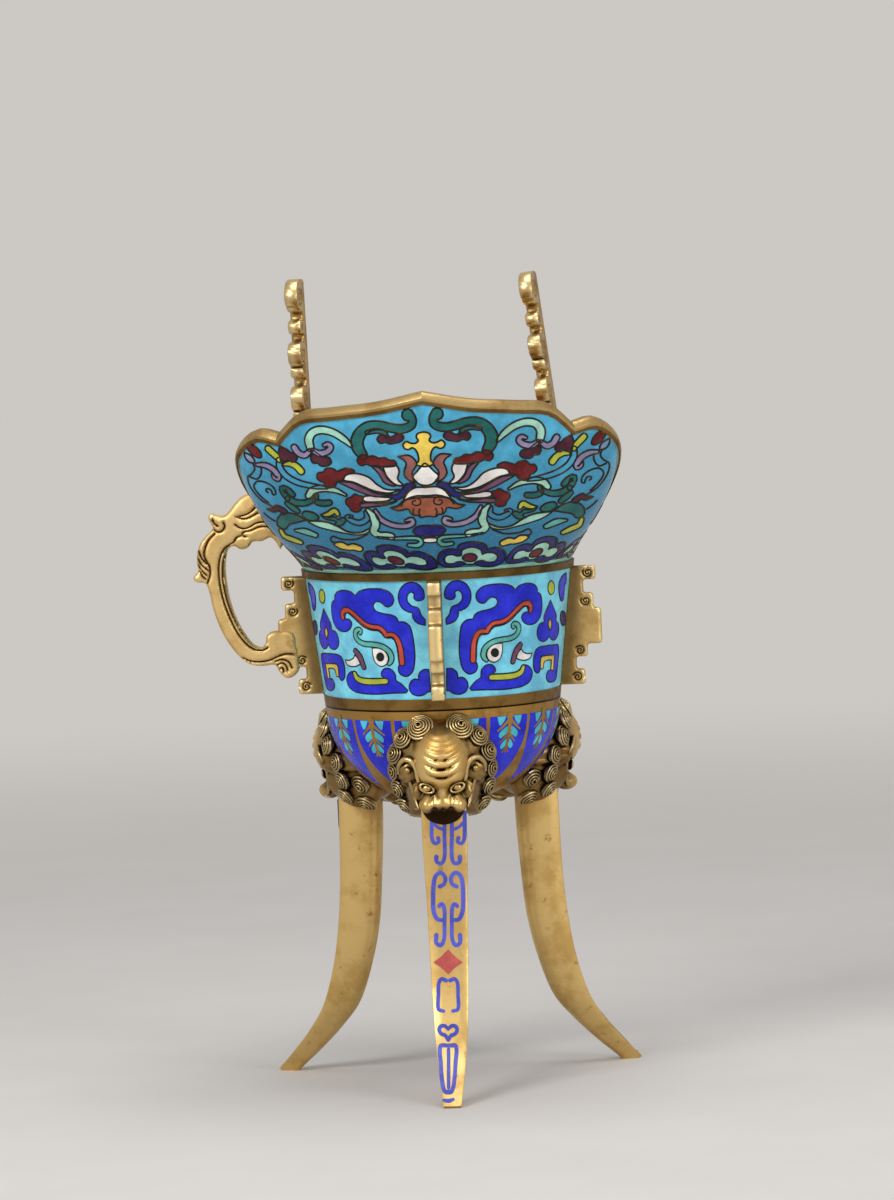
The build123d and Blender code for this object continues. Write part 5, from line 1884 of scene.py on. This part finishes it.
WRINKLES = [
    (78.0, 3.0, 0.2), (76.8, 3.6, 0.28), (75.4, 4.2, 0.42), (73.8, 4.6, 0.65), (71.9, 4.6, 0.85),
    (69.8, 4.2, 1.0),
]
RAY_STEP = 2.0
EGG_BLEND = 0.35
BLEND_SHARE = 0.4
CORE_REACH = 0.5
FACE_FRONT = 27.0
BROW_FRONT = 28.0
MANE_BACK = 27.5
MANE_FOOT = 66.0
MANE_RISE = 0.15
MANE_STRANDS = 30
MANE_SWIRL = 1.1
WRINKLE_BOW = 0.1
FOLD_UP = 0.9
FOLD_TALL = 0.65
CREASE_TALL = 0.36
MASK_DENTS = [
    (EYE[0], EYE[2], 1.7, 1.1, 1.3),
    (2.0, 62.7, 0.75, 0.6, 0.7),
    (0.0, 62.4, 0.4, 0.9, 0.5),
]


def both_sides(eggs):
    return eggs + [((-middle[0], *middle[1:]), half) for middle, half in eggs]


mask_eggs = [(Vector(middle) - MASK_CORE, half) for middle, half in MASK_EGGS + both_sides(MASK_EGG_PAIRS)]
print("eggs in a mask:", len(mask_eggs))

# %% [markdown]
# The skin over the eggs is found along rays, and the fine work is a rise or a dent along the same rays.
# Sculpting by hand would look livelier, but it couldn't be repeated from a script. Where the mask would
# come through the bowl, its rays are shortened until they end in the bowl's wall.

# %% The mask's skin


def ray_reach(way):
    """How far a ray from the middle of the head runs before it leaves the last egg, softly joined."""
    reaches = [CORE_REACH]
    for middle, half in mask_eggs:
        a = sum((way[k] / half[k]) ** 2 for k in range(3))
        b = sum(way[k] * middle[k] / half[k] ** 2 for k in range(3))
        c = sum((middle[k] / half[k]) ** 2 for k in range(3)) - 1
        room = b * b - a * c
        if room > 0 and b + sqrt(room) > 0:
            reaches.append((b + sqrt(room)) / a)
    top = max(reaches)
    return top + EGG_BLEND * (sum(exp((reach - top) / EGG_BLEND) for reach in reaches) - 1) * BLEND_SHARE


def chasing(spot):
    """Fine work as a rise along the ray: dents for eyes, nostrils and lip, then wrinkles and mane."""
    x, z = abs(spot.x), spot.z
    rise = 0.0
    if spot.y > FACE_FRONT:
        for sideways, level, wide, tall, deep in MASK_DENTS:
            rise -= deep * exp(-((x - sideways) / wide) ** 2 - ((z - level) / tall) ** 2)
    if spot.y > BROW_FRONT:
        for level, half, deep in WRINKLES:
            bow = z - level - WRINKLE_BOW * x * x
            fade = deep * max(1 - (x / half) ** 2, 0.0)
            fold = 0.5 * exp(-((bow - FOLD_UP) / FOLD_TALL) ** 2)
            rise += fade * (fold - exp(-(bow / CREASE_TALL) ** 2))
    if spot.y < MANE_BACK and z > MANE_FOOT:
        rise += MANE_RISE * cos(MANE_STRANDS * atan2(z - MASK_CORE.z, x) + MANE_SWIRL * x)
    return rise


LEAST_REACH = 0.6
BOWL_SUNK = 0.7
DRAW_IN = 0.94
RIM_CLEAR = 0.1


def sunk(spot):
    """True if a point lies deeper in the bowl than the mask may reach."""
    return sqrt(spot.x**2 + spot.y**2) < bowl_radius(spot.z) - BOWL_SUNK and spot.z > BOWL_FOOT_Z


def mask_spot(turn, tilt):
    """Point of the mask along a ray, kept out of the inside of the bowl."""
    way = Vector((sin(turn) * cos(tilt), cos(turn) * cos(tilt), sin(tilt)))
    reach = ray_reach(way)
    spot = MASK_CORE + way * reach
    spot = spot + way * chasing(spot)
    while reach > LEAST_REACH and sunk(spot):
        reach *= DRAW_IN
        spot = MASK_CORE + way * reach
    spot.z = min(spot.z, BOWL_RIM_Z - RIM_CLEAR)
    return spot


print("skin at the nose:", [round(value, 1) for value in mask_spot(0.0, radians(-40))])

# %% [markdown]
# Curls, ears and eyelids are rods: rings of points round a line that carries its own thickness. A curl is a
# line that winds in and climbs like a snail's shell, with a small egg under it to close it. Beads and
# eyeballs are small eggs too.

# %% Coils and small eggs
MASK_CURLS = [
    (4.2, 27.4, 80.2, 3.1, 4.9), (8.0, 25.8, 78.0, 2.4, 3.9), (9.9, 24.0, 74.6, 2.3, 3.7),
    (10.3, 21.6, 70.8, 2.1, -3.4), (9.5, 20.8, 66.8, 2.2, -3.6), (8.2, 20.8, 63.2, 2.1, -3.4),
    (6.6, 16.6, 61.8, 2.4, -3.5), (8.8, 16.6, 66.0, 2.3, 3.5),
]
EAR_HOOK = [
    (9.3, 25.9, 70.6, 0.4), (9.2, 27.0, 72.4, 0.55), (8.0, 28.2, 73.8, 0.62), (6.5, 28.9, 73.5, 0.66),
    (5.5, 29.2, 71.9, 0.62), (5.2, 29.2, 70.0, 0.55), (5.0, 29.2, 68.9, 0.4),
]
EAR_BALL = (7.3, 27.6, 71.4, 0.95)
CHEEK_BAND = [
    (7.3, 26.5, 69.8, 0.45), (6.5, 26.7, 67.2, 0.5), (5.9, 27.0, 64.8, 0.5), (5.2, 27.8, 62.9, 0.4),
]
CURL_CORE = Vector((0.0, 15.0, 71.5))
CURL_STEPS = 80
ROD_SIDES = 8
EGG_SIDES = 14
EGG_RINGS = 9
ASKEW = Vector((0.13, 0.2, 1.0))


def rod_rings(line, up):
    """Rings of points round a line of stations that hold a place and a radius."""
    rings = []
    for number, station in enumerate(line):
        way = (line[min(number + 1, len(line) - 1)] - line[max(number - 1, 0)]).xyz.normalized()
        first = way.cross(up).normalized()
        second = first.cross(way)
        turns = [2 * pi * side / ROD_SIDES for side in range(ROD_SIDES)]
        rings.append([station.xyz + (first * cos(turn) + second * sin(turn)) * station.w for turn in turns])
    return rings


def snail(curl):
    """Stations of a coil that climbs from the edge of a curl to its middle, and the way it faces."""
    x, out, z, size, wound = curl
    middle = Vector((x, out, z))
    up = (middle - CURL_CORE).normalized()
    first = up.cross(Vector((0, 0, 1))).normalized()
    second = first.cross(up)
    line = []
    for number in range(CURL_STEPS + 1):
        share = number / CURL_STEPS
        turn = 2 * pi * wound * share + (0.8 if wound > 0 else 2.4)
        spread = size * (1 - 0.88 * share)
        climb = up * size * (0.15 + 0.5 * share**0.8)
        spot = middle + (first * cos(turn) + second * sin(turn)) * spread + climb
        line.append(Vector((*spot, size / abs(wound) * (0.5 - 0.16 * share))))
    return line, up


def egg_rings(middle, half, axis):
    """Rings of a small egg with its poles along an axis."""
    first = axis.cross(ASKEW).normalized()
    second = first.cross(axis)
    rings = []
    for ring in range(EGG_RINGS):
        tilt = pi * (ring + 0.12) / (EGG_RINGS - 0.76)
        level = middle + axis * half[2] * cos(tilt)
        spots = []
        for k in range(EGG_SIDES):
            turn = 2 * pi * k / EGG_SIDES
            spots.append(level + (first * half[0] * cos(turn) + second * half[1] * sin(turn)) * sin(tilt))
        rings.append(spots)
    return rings


print("points on one curl:", len(snail(MASK_CURLS[0])[0]))

# %% [markdown]
# A mask is put together once, facing outwards: the skin over its eggs, then the right side's curls, ear,
# cheek and eye, and the same mirrored. It is turned to each of the three legs, and the forms stay separate
# closed shells, as coils laid on wax would be.

# %% Lion masks
OUTWARD = Vector((0.0, 1.0, 0.0))
LID_STEPS = 28
LID_RADIUS = 0.3
LID_SLANT = 0.12
EYEBALL = (1.0, 0.8, 0.55)
CURL_EGG = (0.95, 0.95, 0.5)
ROD_STEP = 0.4
TILT_END = 88
tilts = [radians(RAY_STEP * k - TILT_END) for k in range(int(2 * TILT_END / RAY_STEP) + 1)]
turns = [radians(RAY_STEP * k) for k in range(int(360 / RAY_STEP))]
mask_shells = [[[mask_spot(turn, tilt) for turn in turns] for tilt in tilts]]
right_shells = []
for curl in MASK_CURLS:
    line, up = snail(curl)
    right_shells.append(rod_rings(line, up))
    right_shells.append(egg_rings(Vector(curl[:3]), [curl[3] * share for share in CURL_EGG], up))
right_shells.append(rod_rings(curve_through(EAR_HOOK, step=ROD_STEP), OUTWARD))
right_shells.append(rod_rings(curve_through(CHEEK_BAND, step=ROD_STEP), OUTWARD))
right_shells.append(egg_rings(Vector(EAR_BALL[:3]), (EAR_BALL[3],) * 3, OUTWARD))
lid_line = []
eye_tilt = radians(EYE_TILT)
for number in range(LID_STEPS + 1):
    turn = 2 * pi * number / LID_STEPS
    a, b = EYE_HALF[0] * cos(turn), EYE_HALF[1] * sin(turn)
    x = EYE[0] + a * cos(eye_tilt) - b * sin(eye_tilt)
    z = EYE[2] + a * sin(eye_tilt) + b * cos(eye_tilt)
    lid_line.append(Vector((x, EYE[1] - LID_SLANT * a, z, LID_RADIUS)))
right_shells.append(rod_rings(lid_line, OUTWARD))
right_shells.append(egg_rings(Vector(EYE), EYEBALL, OUTWARD))
for shell in right_shells:
    mask_shells.append(shell)
    mask_shells.append([[Vector((-spot.x, spot.y, spot.z)) for spot in ring] for ring in shell])

for name, angle in LEG_TURNS.items():
    mask = Stock()
    for shell in mask_shells:
        mask.grid([[on_side(angle, *spot) for spot in row] for row in shell], "gilt_mask", closed=True)
        for row in (shell[0], shell[-1]):
            mask.add([on_side(angle, *spot) for spot in row], [list(range(len(row)))], "gilt_mask")
    mask.piece("lion_face_" + name, "gilt_bronze", ["lion_mask_" + name], sharp=radians(80), solid=True)

# %% [markdown]
# The CAD nodes that are shown as they are get the vessel's finishes: the copper walls that line the cup,
# the rings, the pins and the rivets. Their meshes stay untouched, and only the material slot is filled.

# %% Finishes for the CAD nodes
KEPT = {
    "mouth_body": "gilt_inside",
    "band_body": "gilt_inside",
    "bowl": "gilt_bowl_painted_shade",
    "neck_ring": "gilt_neck_painted_shade",
    "band_foot_ring": "gilt_foot",
}
for name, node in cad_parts.items():
    node.data.materials.clear()
    node.data.materials.append(FINISHES[KEPT.get(name, "gilt_smooth")])
print("CAD nodes with a finish:", len(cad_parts))

# %% [markdown]
# The vessel stands on pale paper that has no visible end: near the feet it is real paper that takes the
# shadow, and farther off it fades into the same plain tone as the world behind it. Only what a camera or a
# polished surface sees is faded, so the light on the vessel stays as the soft boxes give it.

# %% Paper floor
FLOOR_HALF = 6000.0
FADE_FROM = 0.22
FADE_TO = 0.95
FAR_TONE = rgb(204, 200, 195)


def paper():
    """Pale matt paper with a faint tooth, fading into the far tone."""
    finish = Finish("studio_paper")
    tooth = finish.noise(40.0, 4.0)
    colour = finish.blend(tooth, rgb(212, 207, 202), rgb(222, 218, 213))
    material = finish.surface(Base_Color=colour, Roughness=0.75)
    away = finish.node("ShaderNodeVectorMath", {"operation": "LENGTH"}, {0: finish.place}, out="Value")
    fade = away.above(FADE_FROM, FADE_TO) * finish.seen_directly()
    far = finish.node("ShaderNodeEmission", None, {"Color": FAR_TONE})
    near = Signal(finish, finish.shader.outputs[0])
    mixed = finish.node("ShaderNodeMixShader", None, {0: fade, 1: near, 2: far})
    finish.join(finish.tree.nodes["Material Output"], {"Surface": mixed})
    return material


mesh = bpy.data.meshes.new("studio_floor")
signs = ((-1, -1), (1, -1), (1, 1), (-1, 1))
mesh.from_pydata([(x * FLOOR_HALF * MM, y * FLOOR_HALF * MM, 0.0) for x, y in signs], [], [[0, 1, 2, 3]])
mesh.materials.append(paper())
floor = bpy.data.objects.new("studio_floor", mesh)
bpy.context.collection.objects.link(floor)
print("floor", 2 * FLOOR_HALF * MM, "m wide")

# %% [markdown]
# The world does two jobs. For the vessel it is a weak, cool light that fills the shadows. Where a camera or
# a polished surface looks straight at it, it shows the paper's far tone, so floor and backdrop are one.

# %% World
SOFT_TONE = rgb(200, 204, 210)
SOFT_STRENGTH = 0.4

world = bpy.data.worlds.new("studio_world")
world.use_nodes = True
room = Graph(world.node_tree)
background = room.tree.nodes["Background"]
room.join(background, {"Color": SOFT_TONE, "Strength": SOFT_STRENGTH})
soft_light = Signal(room, background.outputs[0])
far_paper = room.node("ShaderNodeBackground", None, {"Color": FAR_TONE})
shown = room.node("ShaderNodeMixShader", None, {0: room.seen_directly(), 1: soft_light, 2: far_paper})
room.join(room.tree.nodes["World Output"], {"Surface": shown})
bpy.context.scene.world = world
print("world light at", SOFT_STRENGTH)

# %% [markdown]
# Three soft boxes light the vessel as a studio would: a key from the left, a weaker fill from the right and
# one overhead. Small lamps would leave hard points on the gilding, so each box is about half a metre wide.

# %% Soft boxes
SOFT_BOXES = [
    ("key_box", (-620, -900, 760), (0, 0, 110), 480, 7.6),
    ("fill_box", (760, -820, 420), (0, 0, 100), 520, 3.9),
    ("top_box", (60, -120, 900), (0, 0, 100), 500, 3.5),
]
for name, place, target, size, power in SOFT_BOXES:
    lamp = bpy.data.lights.new(name, "AREA")
    lamp.size = size * MM
    lamp.energy = power
    lamp_object = bpy.data.objects.new(name, lamp)
    lamp_object.location = Vector(place) * MM
    lamp_object.rotation_euler = (Vector(target) - Vector(place)).to_track_quat("-Z", "Y").to_euler()
    bpy.context.collection.objects.link(lamp_object)
bpy.context.scene.view_settings.view_transform = "Standard"
print("lights:", [row[0] for row in SOFT_BOXES])

# %% [markdown]

# %% End
print("end")
